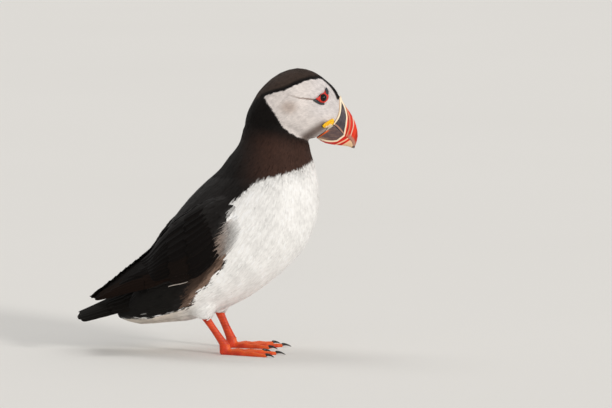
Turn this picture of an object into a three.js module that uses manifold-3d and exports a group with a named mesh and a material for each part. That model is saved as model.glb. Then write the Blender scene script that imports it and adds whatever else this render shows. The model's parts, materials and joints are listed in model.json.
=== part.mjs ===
// A standing Atlantic puffin at life size, in millimetres.
// +X runs forward to the bill, +Y to the bird's left and +Z up; both soles lie on z = 0.
// Every solid reaches the outer line of the plumage, so it is the bird with its feathers on.

import * as THREE from 'three';
import { mergeVertices } from 'three/addons/utils/BufferGeometryUtils.js';
import Module from 'manifold-3d';

const wasm = await Module();
wasm.setup();

// ---- Driving dimensions -------------------------------------------------------------------

const GAP = 0.3;                    // air between neighbouring parts
const HEAD_TILT = Math.PI * 28.4 / 180;   // the bill points this far below level
const HEAD_PIVOT = [73.3, 162];     // x and z of the chin, where the bill begins below
const EYE = { u: -8.7, v: 29.6, radius: 3.7, proud: 1.0 };
const EYELID = { reach: 3.35, thick: 0.8 };
const LEG_SPREAD = 21;              // each foot joint stands this far from the middle plane
const CERE_RISE = 0.55;             // the pale rim of the bill stands this far above the horn
const TARSUS = { top: 4.1, middle: 3.1, foot: 3.9, flatness: 0.78 };
// Each leg's heel and foot joint (x, z), with the toes turned by splay about the upright.
const JOINT_TOP = 7;                // height of the foot joint's upper side
const LEGS = [
  { name: 'right', side: -1, heel: [-10.8, 30.5], joint: [5.4, JOINT_TOP + GAP], splay: -0.06 },
  { name: 'left', side: 1, heel: [-0.6, 30.5], joint: [9.8, JOINT_TOP + GAP], splay: 0.06 },
];
const FOOT_AHEAD = 0.8;             // the foot's own origin lies this far before the joint
const TOES = [
  { name: 'inner', length: 30, turn: 0.42 },
  { name: 'middle', length: 38, turn: 0.0 },
  { name: 'outer', length: 35, turn: -0.45 },
];
const KNUCKLES = 3;
const TOE_ROOT = 3.1;               // half width of a toe where it leaves the foot joint
const TOE_HEIGHT = 4.6;
const WEB_THICK = 1.3;
const CLAW_LENGTH = 6.5;
const FACETS = {
  body: [24, 24],                   // sections along the part, then sides round each section
  head: [15, 20],
  bill: [12, 14],
  wing: [17, 6],
  shank: 10,
  ball: [9, 6],
  rim: [5, 12],
  curve: 10,
};
const TAIL = {
  feathers: 16,
  root: [-60, 50],                  // x and z of the middle feathers' roots, inside the trunk
  end: [-105.2, 29.5],              // and of their tips
  rootHalf: 17,
  endHalf: 23,
  drop: [16, 3.2],                  // how far the outer feathers hang below, at root and tip
  thick: 2.2,
  edge: 1.1,
  graded: 11,                       // the outer feathers are shorter than the middle by this
  notch: 1.1,                       // depth of the notches between feather tips
};

// Stations of the trunk and neck, from the tail coverts to the inside of the head. Each gives a
// point of the back and of the belly (x, z), half the width, and how high up the widest place is.
const BODY_STATIONS = [
  { back: [-76, 34], belly: [-74, 25.5], half: 13, widest: 0.5 },
  { back: [-63.5, 47], belly: [-59.5, 20.7], half: 22, widest: 0.5 },
  { back: [-53, 65], belly: [-38.5, 22], half: 30, widest: 0.5 },
  { back: [-44, 81.5], belly: [-16.9, 24], half: 35.5, widest: 0.5 },
  { back: [-34, 99.5], belly: [3.4, 30.8], half: 39, widest: 0.48 },
  { back: [-20.5, 116.5], belly: [25.9, 42], half: 41.5, widest: 0.47 },
  { back: [-8, 129], belly: [48.4, 59.3], half: 42.5, widest: 0.46 },
  { back: [1.5, 137.5], belly: [65.6, 77.5], half: 41.5, widest: 0.46 },
  { back: [8, 146.5], belly: [75.4, 101.3], half: 38.5, widest: 0.47 },
  { back: [12, 151], belly: [76.9, 121.5], half: 33.5, widest: 0.49 },
  { back: [15, 155], belly: [73.5, 139.5], half: 28, widest: 0.5 },
  { back: [17.3, 160.1], belly: [70, 150.8], half: 24.5, widest: 0.5 },
  { back: [19.5, 169], belly: [68.6, 157.5], half: 21.5, widest: 0.5 },
  { back: [30.5, 183], belly: [60, 168], half: 14, widest: 0.5 },
];

// Stations of the head in its own frame: u forward along the gape, v up, from the chin.
const HEAD_STATIONS = [
  { back: [-53.5, 9], belly: [-53.5, -8], half: 8, widest: 0.5 },
  { back: [-50.5, 20.5], belly: [-50.5, -18], half: 14.5, widest: 0.5 },
  { back: [-44.5, 31.5], belly: [-45, -22], half: 18.5, widest: 0.5 },
  { back: [-36, 39.2], belly: [-36, -18], half: 20.8, widest: 0.47 },
  { back: [-26, 42.4], belly: [-25, -10], half: 21, widest: 0.44 },
  { back: [-15, 41.9], belly: [-15, -7.6], half: 18.6, widest: 0.4 },
  { back: [-6.5, 39.9], belly: [-7, -6.3], half: 14.3, widest: 0.4 },
  { back: [-1, 37.4], belly: [-1.5, -2.7], half: 10.4, widest: 0.4 },
  { back: [4, 33.6], belly: [4, -0.6], half: 7.9, widest: 0.42 },
  { back: [9, 30.2], belly: [9, -0.4], half: 6.8, widest: 0.42 },
];

// Stations of the bill, in the head's frame, from inside the face to the hooked tip.
const BILL_STATIONS = [
  { back: [-2, 38.3], belly: [-2, 0.6], half: 7.3, widest: 0.4 },
  { back: [3, 35], belly: [3, -0.9], half: 7, widest: 0.4 },
  { back: [9, 31.3], belly: [9.5, -0.9], half: 6.2, widest: 0.4 },
  { back: [15, 28.2], belly: [15.5, 1.1], half: 5.2, widest: 0.42 },
  { back: [20.3, 24.6], belly: [20.5, 3.2], half: 4.1, widest: 0.42 },
  { back: [24.8, 20.1], belly: [24.5, 4.7], half: 3.1, widest: 0.45 },
  { back: [27.9, 15.5], belly: [27, 5.2], half: 2.2, widest: 0.5 },
  { back: [29.4, 10.4], belly: [28.8, 5.2], half: 1.4, widest: 0.5 },
  { back: [29.9, 6.8], belly: [29.7, 5.3], half: 0.7, widest: 0.5 },
];

// Curves across the side of the face and bill, in the head's frame, from top to bottom.
// The cere edge runs on below the gape, where nothing is cut by it.
const FACE_EDGE = [
  [-1, 42], [0.4, 37], [3, 31.4], [5.7, 26.9], [7, 22], [7.1, 16.6], [6.4, 11], [2, 1.6], [-1, -6],
];
const CERE_EDGE = [
  [2, 42], [3, 35.8], [6, 30.2], [7.8, 26.4], [8.8, 22], [8.7, 17.8], [7.9, 14.2], [7.5, 8], [6, -6],
];
const MOUTH_LINE = [[2, 15.3], [7.9, 14.5], [17.2, 11.6], [23, 10.5], [26.8, 8.8], [31, 4.2]];

// Stations of the folded wing, from its bend to the tip of the longest primary. The upper and
// lower edge give x and z; out is the distance from the middle plane at the upper edge, halfway
// down and at the lower edge, and deep is how far the solid reaches in behind that surface.
const WING_STATIONS = [
  { upper: [10.5, 115], lower: [14, 107], out: [34.5, 36, 36], deep: 12 },
  { upper: [2.5, 119], lower: [11.3, 93.4], out: [32.5, 41.5, 41.5], deep: 16 },
  { upper: [-9, 117], lower: [3.5, 79.8], out: [29.5, 45.8, 45], deep: 18 },
  { upper: [-21, 109.5], lower: [-8.6, 67.3], out: [26.5, 46.8, 45], deep: 20 },
  { upper: [-32.5, 100.5], lower: [-21.4, 58.5], out: [23.5, 45.5, 42.5], deep: 20 },
  { upper: [-41.6, 90.3], lower: [-34.9, 54.9], out: [20, 42, 38.5], deep: 18 },
  { upper: [-48, 80.2], lower: [-45.4, 51], out: [16.5, 36.5, 34], deep: 14 },
  { upper: [-52.5, 74.2], lower: [-53.6, 48.3], out: [14, 30, 29.5], deep: 10 },
  { upper: [-64.1, 66], lower: [-64.9, 45.4], out: [10.5, 22, 23], deep: 6.5 },
  { upper: [-76.1, 55.6], lower: [-76.1, 42.2], out: [8, 15, 17], deep: 4.5 },
  { upper: [-86.6, 47], lower: [-85.9, 40.5], out: [6.5, 10, 11.5], deep: 3 },
  { upper: [-93.3, 40.3], lower: [-92.3, 39.3], out: [5, 6.3, 7], deep: 1.8 },
];

// Lines across the bird (x, z) at which the whole is parted into head, neck and trunk, and the
// folded wing into its arm and its primaries.
const THROAT_LINE = [[18, 164.5], [70, 156.6]];
const SHOULDER_LINE = [[-1, 134.5], [72.5, 143]];
const FOLD_LINE = [[-54.5, 90], [-52.5, 30]];

// ---- Geometry helpers ---------------------------------------------------------------------

/** A closed geometry from points and triangles, turned so that its faces point outwards. */
function closedGeometry(points, triangles) {
  let sixfold = 0;
  const across = new THREE.Vector3();
  for (const [a, b, c] of triangles) {
    sixfold += points[a].dot(across.crossVectors(points[b], points[c]));
  }
  const facing = sixfold > 0 ? triangles : triangles.map(([a, b, c]) => [a, c, b]);
  const geometry = new THREE.BufferGeometry().setFromPoints(points);
  geometry.setIndex(facing.flat());
  return geometry;
}

/** Joins rings of equal count into one closed body, with a fan over each end. */
function skinRings(rings) {
  const sides = rings[0].length;
  const points = rings.flat();
  const triangles = [];
  for (let r = 0; r + 1 < rings.length; r += 1) {
    for (let k = 0; k < sides; k += 1) {
      const a = r * sides + k;
      const b = r * sides + (k + 1) % sides;
      triangles.push([a, b, b + sides], [a, b + sides, a + sides]);
    }
  }
  for (const end of [0, rings.length - 1]) {
    const hub = points.length;
    const middle = new THREE.Vector3();
    rings[end].forEach((point) => middle.addScaledVector(point, 1 / sides));
    points.push(middle);
    for (let k = 0; k < sides; k += 1) {
      const a = end * sides + k;
      const b = end * sides + (k + 1) % sides;
      triangles.push(end === 0 ? [b, a, hub] : [a, b, hub]);
    }
  }
  return closedGeometry(points, triangles);
}

/** A smooth curve through places given as pairs (x, z), with the same parameter at each place. */
function rail(places) {
  const points = places.map(([x, z]) => new THREE.Vector3(x, 0, z));
  return new THREE.CatmullRomCurve3(points, false, 'centripetal');
}

/** A body of rounded sections, each spanned between a back rail and a belly rail. */
function spannedBody(stations, [rings, sides], grow = 0) {
  const back = rail(stations.map((station) => station.back));
  const belly = rail(stations.map((station) => station.belly));
  const widths = rail(stations.map((station) => [station.half, station.widest]));
  const sections = [];
  for (let r = 0; r <= rings; r += 1) {
    const t = r / rings;
    const high = back.getPoint(t);
    const low = belly.getPoint(t);
    const width = widths.getPoint(t);
    const span = high.clone().sub(low);
    const reach = grow / span.length();
    const skew = Math.log(width.z) / Math.log(0.5);
    const section = [];
    for (let k = 0; k < sides; k += 1) {
      const angle = 2 * Math.PI * (k + 0.5) / sides;
      const height = Math.pow((1 + Math.cos(angle)) / 2, skew);
      const stretched = height + (2 * height - 1) * reach;
      const point = low.clone().addScaledVector(span, stretched);
      point.y = (width.x + grow) * Math.sin(angle);
      section.push(point);
    }
    sections.push(section);
  }
  return skinRings(sections);
}

/** A closed geometry as a solid that can be joined and cut. */
function solidOf(geometry) {
  const bare = geometry.clone();
  bare.deleteAttribute('normal');
  bare.deleteAttribute('uv');
  const merged = mergeVertices(bare, 1e-4);
  return new wasm.Manifold(new wasm.Mesh({
    numProp: 3,
    vertProperties: new Float32Array(merged.attributes.position.array),
    triVerts: new Uint32Array(merged.index.array),
  }));
}

/** The largest single piece of a solid, without any crumbs that a cut left. */
function mainPiece(solid) {
  return solid.decompose().sort((a, b) => b.volume() - a.volume())[0];
}

/** A solid's surface as a geometry. */
function geometryOf(solid) {
  const mesh = mainPiece(solid).getMesh();
  const geometry = new THREE.BufferGeometry();
  geometry.setAttribute('position', new THREE.BufferAttribute(mesh.vertProperties, 3));
  geometry.setIndex(new THREE.BufferAttribute(mesh.triVerts, 1));
  return geometry;
}

/** Moves a geometry from the head's frame to the bird's. */
function fromHead(geometry) {
  const place = new THREE.Matrix4().makeRotationY(HEAD_TILT);
  place.setPosition(HEAD_PIVOT[0], 0, HEAD_PIVOT[1]);
  return geometry.applyMatrix4(place);
}

/** A prism across the whole head, from an outline in the head's frame. */
function headPrism(outline) {
  const shape = new THREE.Shape(outline.map(([u, v]) => new THREE.Vector2(u, v)));
  const width = 80;
  const geometry = new THREE.ExtrudeGeometry(shape, { depth: width, bevelEnabled: false });
  geometry.translate(0, 0, -width / 2);
  geometry.rotateX(Math.PI / 2);
  return solidOf(fromHead(geometry));
}

/** Points of a smooth curve through a few places, moved along u and v. */
function curvePoints(places, du = 0, dv = 0) {
  const curve = new THREE.SplineCurve(places.map(([u, v]) => new THREE.Vector2(u + du, v + dv)));
  return curve.getPoints(FACETS.curve).map((point) => [point.x, point.y]);
}

/** All of the head's space in front of a curve that runs from top to bottom. */
function inFrontOf(places, shift) {
  const edge = curvePoints(places, shift);
  const last = edge[edge.length - 1];
  return headPrism([...edge, [50, last[1]], [50, edge[0][1]]]);
}

/** All of the head's space above a curve that runs from back to front. */
function above(places, shift) {
  const edge = curvePoints(places, 0, shift);
  const last = edge[edge.length - 1];
  return headPrism([...edge, [last[0], 60], [edge[0][0], 60]]);
}

/** All space on the upper side of a line across the bird, given by two places (x, z). */
function beyondLine([x1, z1], [x2, z2], shift) {
  const size = 400;
  const block = new THREE.BoxGeometry(size, size, size);
  block.translate(0, 0, size / 2 + shift);
  block.rotateY(Math.atan2(z1 - z2, x2 - x1));
  block.translate((x1 + x2) / 2, 0, (z1 + z2) / 2);
  return solidOf(block);
}

/** How far the side of a solid lies from the middle plane, at a place of the head's frame. */
function sideAt(geometry, u, v) {
  const place = fromHead(new THREE.BufferGeometry().setFromPoints([new THREE.Vector3(u, 0, v)]));
  const start = new THREE.Vector3().fromBufferAttribute(place.attributes.position, 0);
  start.y = 100;
  const ray = new THREE.Raycaster(start, new THREE.Vector3(0, -1, 0));
  return ray.intersectObject(new THREE.Mesh(geometry))[0].point.y;
}

// ---- Materials ----------------------------------------------------------------------------

const plumageBlack = new THREE.MeshStandardMaterial({ color: 0x15120f, roughness: 0.7 });
const plumageWhite = new THREE.MeshStandardMaterial({ color: 0xe9e5df, roughness: 0.8 });
const plumageGrey = new THREE.MeshStandardMaterial({ color: 0xcfc8c2, roughness: 0.8 });
const hornRed = new THREE.MeshStandardMaterial({ color: 0xe03a1c, roughness: 0.4 });
const hornSlate = new THREE.MeshStandardMaterial({ color: 0x4b4547, roughness: 0.45 });
const hornCream = new THREE.MeshStandardMaterial({ color: 0xf0dcb4, roughness: 0.5 });
const gapeYellow = new THREE.MeshStandardMaterial({ color: 0xf2b21c, roughness: 0.55 });
const eyeDark = new THREE.MeshStandardMaterial({ color: 0x160d09, roughness: 0.05 });
const lidRed = new THREE.MeshStandardMaterial({ color: 0xd6301c, roughness: 0.5 });
const legOrange = new THREE.MeshStandardMaterial({ color: 0xef5314, roughness: 0.5 });
const clawBlack = new THREE.MeshStandardMaterial({ color: 0x17120f, roughness: 0.35 });

const puffin = new THREE.Group();

/** Adds one named part to a group, the whole bird unless another is given. */
function addPart(name, solid, material, parent = puffin) {
  const geometry = solid.isBufferGeometry ? solid : geometryOf(solid);
  const mesh = new THREE.Mesh(geometry, material);
  mesh.name = name;
  parent.add(mesh);
}

// ---- Legs and feet ------------------------------------------------------------------------

/** A round bar through places, as [x, y, z, half width along x, half width along y]. */
function taperedBar(places, sides) {
  const rings = places.map(([x, y, z, rx, ry]) => {
    const ring = [];
    for (let k = 0; k < sides; k += 1) {
      const angle = 2 * Math.PI * k / sides;
      ring.push(new THREE.Vector3(x + rx * Math.cos(angle), y + ry * Math.sin(angle), z));
    }
    return ring;
  });
  return skinRings(rings);
}

/** The scaly shank between heel and foot joint, leaning forward as it goes down. */
function tarsus({ heel, joint, side, grow = 0 }) {
  const steps = 5;
  const places = [];
  for (let k = 0; k <= steps; k += 1) {
    const t = k / steps;
    const waist = 4 * t * (1 - t);
    const ends = THREE.MathUtils.lerp(TARSUS.top, TARSUS.foot, t);
    const depth = THREE.MathUtils.lerp(ends, TARSUS.middle, waist) + grow;
    const x = THREE.MathUtils.lerp(heel[0], joint[0], t);
    const z = THREE.MathUtils.lerp(heel[1], joint[1], t);
    places.push([x, side * LEG_SPREAD, z, depth, depth * TARSUS.flatness]);
  }
  return solidOf(taperedBar(places, FACETS.shank));
}

/** The feathered end of the thigh that the shank comes out of. */
function feathering({ heel, side }) {
  const [x, z] = heel;
  const y = side * LEG_SPREAD;
  return solidOf(taperedBar([
    [x - 1, y * 0.75, z + 26, 19, 13],
    [x - 1, y * 0.86, z + 13, 16, 12],
    [x - 0.5, y * 0.95, z + 4, 11, 9.5],
    [x + 0.5, y, z - 1, 8, 7.2],
    [x + 1.8, y, z - 4.2, 5.8, 5.6],
  ], 14));
}

/** Where a toe ends, from the foot joint, in the foot's own frame with inner towards +Y. */
function toeEnd({ length, turn }, along = 1) {
  return new THREE.Vector2(length * along * Math.cos(turn), length * along * Math.sin(turn));
}

/** One toe lying on the floor, with a swelling at each knuckle and a flat sole. */
function toe({ length, turn }) {
  const steps = 2 * KNUCKLES;
  const rings = [];
  for (let k = 0; k <= steps; k += 1) {
    const t = k / steps;
    const swell = 1 + 0.1 * Math.cos(2 * Math.PI * KNUCKLES * t);
    const half = THREE.MathUtils.lerp(TOE_ROOT, 1.7, t) * swell;
    const height = THREE.MathUtils.lerp(TOE_HEIGHT, 2.5, t) * swell;
    const ring = [];
    for (const [y, z] of [[0.8, 0], [1, 0.3], [0.75, 0.8], [0, 1], [-0.75, 0.8], [-1, 0.3], [-0.8, 0]]) {
      ring.push(new THREE.Vector3(length * t, half * y, height * z));
    }
    rings.push(ring);
  }
  return skinRings(rings).rotateZ(turn);
}

/** The web between the toes, its free edges drawn in between the toe tips. */
function web() {
  const outline = new THREE.Shape();
  outline.moveTo(-1, 1.5);
  const reach = 0.97;
  const tips = TOES.map((each) => toeEnd(each, reach));
  outline.lineTo(tips[0].x, tips[0].y);
  for (let k = 0; k + 1 < TOES.length; k += 1) {
    const inward = tips[k].clone().add(tips[k + 1]).multiplyScalar(0.5 * 0.93);
    outline.quadraticCurveTo(inward.x, inward.y, tips[k + 1].x, tips[k + 1].y);
  }
  outline.lineTo(-1, -1.5);
  return new THREE.ExtrudeGeometry(outline, { depth: WEB_THICK, bevelEnabled: false, curveSegments: 4 });
}

/** The pad under the foot joint, which carries the shank. */
function jointPad(top) {
  return taperedBar([
    [0.3, 0, 0, 3.9, 3.2],
    [0, 0, 1.2, 4.5, 3.7],
    [-0.2, 0, 3, 4.4, 3.6],
    [-0.8, 0, top, 3.9, 3.05],
  ], FACETS.shank);
}

/** A curved claw that starts in front of a toe and comes down to the floor. */
function claw({ length, turn }) {
  const steps = 3;
  const sides = 6;
  const rings = [];
  for (let k = 0; k <= steps; k += 1) {
    const t = k / steps;
    const half = THREE.MathUtils.lerp(1.35, 0.25, t);
    const middle = 1.7 - 1.35 * t * t + 0.35 * Math.sin(Math.PI * t);
    const ring = [];
    for (let j = 0; j < sides; j += 1) {
      const angle = 2 * Math.PI * j / sides;
      const rise = middle + half * Math.sin(angle);
      const x = length + GAP + CLAW_LENGTH * t;
      ring.push(new THREE.Vector3(x, half * 0.8 * Math.cos(angle), Math.max(rise, 0)));
    }
    rings.push(ring);
  }
  return skinRings(rings).rotateZ(turn);
}

for (const leg of LEGS) {
  const foot = new THREE.Group();
  foot.position.set(leg.joint[0] + FOOT_AHEAD, leg.side * LEG_SPREAD, 0);
  foot.rotation.z = leg.splay;
  puffin.add(foot);
  let solid = solidOf(web()).add(solidOf(jointPad(JOINT_TOP)));
  for (const each of TOES) {
    solid = solid.add(solidOf(toe(each)));
    const nail = claw({ ...each, turn: -each.turn * leg.side });
    addPart(`claw_${leg.name}_${each.name}`, nail, clawBlack, foot);
  }
  // The toes are laid out for a right foot; the left foot is its mirror image.
  const mirrored = leg.side > 0 ? solid.mirror([0, 1, 0]) : solid;
  addPart(`foot_${leg.name}`, mirrored, legOrange, foot);
  addPart(`leg_${leg.name}`, tarsus(leg), legOrange);
}
const shanks = LEGS.map((leg) => tarsus({ ...leg, grow: GAP }));

// ---- Trunk, neck and head -----------------------------------------------------------------

const bodyShape = spannedBody(BODY_STATIONS, FACETS.body);
const headShape = fromHead(spannedBody(HEAD_STATIONS, FACETS.head));
const headSolid = solidOf(headShape);
const whole = solidOf(bodyShape).add(headSolid);
const bodyClear = solidOf(spannedBody(BODY_STATIONS, FACETS.body, GAP));

/** Parts a solid at a line and leaves the gap between the two sides. */
function partAt(solid, [from, to]) {
  return {
    beyond: solid.intersect(beyondLine(from, to, GAP / 2)),
    before: solid.subtract(beyondLine(from, to, -GAP / 2)),
  };
}

const atThroat = partAt(whole, THROAT_LINE);
const atShoulder = partAt(atThroat.before, SHOULDER_LINE);

// ---- Bill, eyes and the skin at the gape --------------------------------------------------

const bill = solidOf(fromHead(spannedBody(BILL_STATIONS, FACETS.bill)));
const billRidge = solidOf(fromHead(spannedBody(BILL_STATIONS, FACETS.bill, CERE_RISE)));
const ahead = inFrontOf(FACE_EDGE, GAP / 2);
const aheadOfCere = inFrontOf(CERE_EDGE, GAP / 2);
const behindCere = inFrontOf(CERE_EDGE, -GAP / 2);
const upperJaw = above(MOUTH_LINE, GAP / 2);
const lowerJaw = above(MOUTH_LINE, -GAP / 2);

addPart('bill_upper', bill.intersect(aheadOfCere).intersect(upperJaw), hornRed);
addPart('bill_cere', billRidge.intersect(ahead).subtract(behindCere).intersect(upperJaw), hornCream);
addPart('bill_lower', bill.intersect(ahead).subtract(lowerJaw), hornSlate);

/** A ball flattened to three radii (forward, sideways, up), on the side of the face. */
function facePad({ u, v, out, radii, turn = 0 }, side, grow = 0) {
  const ball = new THREE.SphereGeometry(1, ...FACETS.ball);
  ball.scale(radii[0] + grow, radii[1] + grow, radii[2] + grow);
  ball.rotateY(turn);
  ball.translate(u, side * out, v);
  return solidOf(fromHead(ball));
}

/** The bare rim round the eye, as a ring that faces sideways. */
function eyeRim(out, side, grow = 0) {
  const ring = new THREE.TorusGeometry(EYELID.reach, EYELID.thick + grow, ...FACETS.rim);
  ring.rotateX(Math.PI / 2);
  ring.translate(EYE.u, side * out, EYE.v);
  return solidOf(fromHead(ring));
}

const cheek = sideAt(headShape, EYE.u, EYE.v);
const EYEBALL = {
  u: EYE.u,
  v: EYE.v,
  out: cheek + EYE.proud - EYE.radius,
  radii: [EYE.radius, EYE.radius, EYE.radius],
};
const UPPER_PLATE = { u: -8.9, v: 34.4, out: cheek - 0.9, radii: [1.2, 1.3, 2.3] };
const LOWER_PLATE = { u: -10.2, v: 24.9, out: cheek + 0.6, radii: [4.4, 1.3, 1.2], turn: 0.07 };
const rosetteSide = sideAt(headShape, 3.6, 13.6);
const ROSETTE = { u: 3.6, v: 13.6, out: rosetteSide - 0.2, radii: [4.6, 1.7, 2.3], turn: -0.95 };

const beyondFace = inFrontOf(FACE_EDGE, -GAP / 2);
let head = atThroat.beyond.subtract(beyondFace);
for (const [name, side] of [['right', -1], ['left', 1]]) {
  const eyeball = facePad(EYEBALL, side);
  const eyeClear = facePad(EYEBALL, side, GAP);
  const lid = eyeRim(cheek - 0.1, side).add(facePad(UPPER_PLATE, side)).add(facePad(LOWER_PLATE, side));
  const lidClear = eyeRim(cheek - 0.1, side, GAP)
    .add(facePad(UPPER_PLATE, side, GAP))
    .add(facePad(LOWER_PLATE, side, GAP));
  addPart(`eye_${name}`, eyeball, eyeDark);
  addPart(`eyelid_${name}`, lid.subtract(eyeClear), lidRed);
  const rosette = facePad(ROSETTE, side).subtract(beyondFace);
  addPart(`gape_rosette_${name}`, rosette, gapeYellow);
  head = head.subtract(eyeClear).subtract(lidClear).subtract(facePad(ROSETTE, side, GAP));
}
addPart('head', head, plumageGrey);
addPart('neck', atShoulder.beyond, plumageBlack);

// ---- Wings --------------------------------------------------------------------------------

/** A folded wing as curved sections from its upper to its lower edge, along the wing. */
function wingShape(side, reach, grow = 0) {
  const along = (pick) => rail(WING_STATIONS.map(pick));
  const upper = along((station) => station.upper);
  const lower = along((station) => station.lower);
  const edges = along((station) => [station.out[0], station.out[2]]);
  const crown = along((station) => [station.out[1], station.deep]);
  const rings = [];
  const [count, across] = FACETS.wing;
  for (let r = 0; r <= count; r += 1) {
    const t = r / count;
    const top = upper.getPoint(t);
    const bottom = lower.getPoint(t);
    const edge = edges.getPoint(t);
    const middle = crown.getPoint(t);
    const lengthen = reach * Math.max(0, t - 0.6) / 0.4;
    const ring = [];
    for (const inner of [false, true]) {
      for (let k = 0; k <= across; k += 1) {
        const s = inner ? 1 - k / across : k / across;
        const bow = 4 * s * (1 - s);
        const straight = THREE.MathUtils.lerp(edge.x, edge.z, s);
        const bulge = middle.x - (edge.x + edge.z) / 2;
        const thick = 1.2 + (middle.z - 1.2) * Math.sqrt(bow);
        const out = straight + bulge * bow - (inner ? thick + grow : -grow);
        const point = top.clone().lerp(bottom, s + (2 * s - 1) * grow / top.distanceTo(bottom));
        point.y = side * out;
        point.x -= lengthen;
        ring.push(point);
      }
    }
    rings.push(ring);
  }
  return solidOf(skinRings(rings));
}

let clearOfWings = bodyClear;
for (const [name, side, reach] of [['right', -1, 0], ['left', 1, 3.5]]) {
  const wing = wingShape(side, reach).subtract(bodyClear);
  const { beyond, before } = partAt(wing, FOLD_LINE);
  addPart(`wing_${name}`, beyond, plumageBlack);
  addPart(`primaries_${name}`, before, plumageBlack);
  clearOfWings = clearOfWings.add(wingShape(side, reach, GAP));
}

// ---- Tail ---------------------------------------------------------------------------------

/** The closed fan of tail feathers: an arched sheet with a lobe at each feather tip. */
function tailShape() {
  const columns = 2 * TAIL.feathers;
  const rows = 3;
  const layers = [];
  for (const under of [false, true]) {
    const layer = [];
    for (let r = 0; r <= rows; r += 1) {
      const t = r / rows;
      const row = [];
      for (let c = 0; c <= columns; c += 1) {
        const across = 2 * c / columns - 1;
        const lobe = c % 2 === 1 ? 0 : TAIL.notch;
        const shortfall = (TAIL.graded * across ** 4 + lobe) * t;
        const half = THREE.MathUtils.lerp(TAIL.rootHalf, TAIL.endHalf, t);
        const drop = THREE.MathUtils.lerp(TAIL.drop[0], TAIL.drop[1], t) * across * across;
        const thick = THREE.MathUtils.lerp(TAIL.thick, TAIL.edge, t);
        row.push(new THREE.Vector3(
          THREE.MathUtils.lerp(TAIL.root[0], TAIL.end[0], t) + shortfall,
          half * across * (1 - (under ? 0.04 : 0)),
          THREE.MathUtils.lerp(TAIL.root[1], TAIL.end[1], t) - drop - (under ? thick : 0),
        ));
      }
      layer.push(row);
    }
    layers.push(layer);
  }
  const rings = layers[0].map((row, r) => [...row, ...layers[1][r].toReversed()]);
  return solidOf(skinRings(rings));
}

addPart('tail', tailShape().subtract(clearOfWings), plumageBlack);

// ---- Trunk and the feathering of the legs -------------------------------------------------

let trunk = atShoulder.before;
LEGS.forEach((leg, k) => {
  const cuff = feathering(leg).subtract(bodyClear).subtract(shanks[k]);
  addPart(`thigh_${leg.name}`, cuff, plumageWhite);
  trunk = trunk.subtract(shanks[k]);
});
addPart('trunk', trunk, plumageWhite);

// ---- Origin: the middle of the bird's box, on the floor -----------------------------------

puffin.updateMatrixWorld(true);
const box = new THREE.Box3().setFromObject(puffin);
puffin.position.set(-(box.min.x + box.max.x) / 2, -(box.min.y + box.max.y) / 2, -box.min.z);

export default puffin;
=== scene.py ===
"""Looks of a standing Atlantic puffin at life size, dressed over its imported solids.

Every shape is worked out in millimetres, in the frame of the solids, and written in metres.
"""

import json
import logging
import math
from dataclasses import dataclass, replace
from enum import Enum
from typing import Callable, Optional, Sequence, Union

import bpy
import numpy as np
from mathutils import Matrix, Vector
from mathutils.bvhtree import BVHTree

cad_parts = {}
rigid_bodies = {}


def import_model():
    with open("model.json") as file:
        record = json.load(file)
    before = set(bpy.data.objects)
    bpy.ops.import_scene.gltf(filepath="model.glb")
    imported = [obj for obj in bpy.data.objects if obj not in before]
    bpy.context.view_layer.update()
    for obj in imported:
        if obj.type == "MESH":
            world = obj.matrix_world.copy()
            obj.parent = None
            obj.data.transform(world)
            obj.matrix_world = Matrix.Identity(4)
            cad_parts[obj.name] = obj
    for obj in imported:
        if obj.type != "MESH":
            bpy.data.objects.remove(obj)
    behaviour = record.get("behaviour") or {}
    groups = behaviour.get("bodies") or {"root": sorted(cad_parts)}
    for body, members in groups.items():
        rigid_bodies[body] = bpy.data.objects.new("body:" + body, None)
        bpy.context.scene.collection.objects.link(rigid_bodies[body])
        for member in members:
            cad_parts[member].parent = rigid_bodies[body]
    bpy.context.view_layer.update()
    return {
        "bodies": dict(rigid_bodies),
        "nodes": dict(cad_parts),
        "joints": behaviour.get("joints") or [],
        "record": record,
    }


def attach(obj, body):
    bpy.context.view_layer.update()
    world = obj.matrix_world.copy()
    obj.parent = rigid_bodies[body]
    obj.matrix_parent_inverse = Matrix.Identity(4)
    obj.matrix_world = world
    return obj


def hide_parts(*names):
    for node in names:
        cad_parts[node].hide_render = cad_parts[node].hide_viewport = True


LOG = logging.getLogger("puffin")
MM = 0.001
TURN = 2 * math.pi
HEAD_TILT = math.radians(28.4)
HEAD_PIVOT = (73.3, 162.0)
VIEW_TILT = math.radians(6.0)
VIEW_HEIGHT = 111.0
SIDES = (("right", -1.0), ("left", 1.0))

Array = np.ndarray
Colour = tuple[float, float, float]
Pair = tuple[float, float]
Places = Sequence[Pair]


# ---- Curves, distances and frames ----


def srgb(*levels: float) -> Colour:
    """Turns a colour of 0 to 255 as seen on a screen into linear light."""
    shares = (level / 255.0 for level in levels)
    return tuple(s / 12.92 if s <= 0.04045 else ((s + 0.055) / 1.055) ** 2.4 for s in shares)


def unit(vectors: Array) -> Array:
    """Scales each row to length one."""
    return vectors / np.maximum(np.linalg.norm(vectors, axis=-1, keepdims=True), 1e-9)


def smooth(value: Array, low: float, high: float) -> Array:
    """Rises smoothly from 0 at low to 1 at high."""
    share = np.clip((value - low) / (high - low), 0.0, 1.0)
    return share * share * (3.0 - 2.0 * share)


def between(pair: Sequence, share: Array) -> Array:
    """Goes evenly from the first to the second of a pair."""
    return pair[0] + (pair[1] - pair[0]) * share


def flattened(ahead: Array, normals: Array) -> Array:
    """Lays directions flat on surfaces with these normals."""
    return ahead - (ahead * normals).sum(1, keepdims=True) * normals


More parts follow.
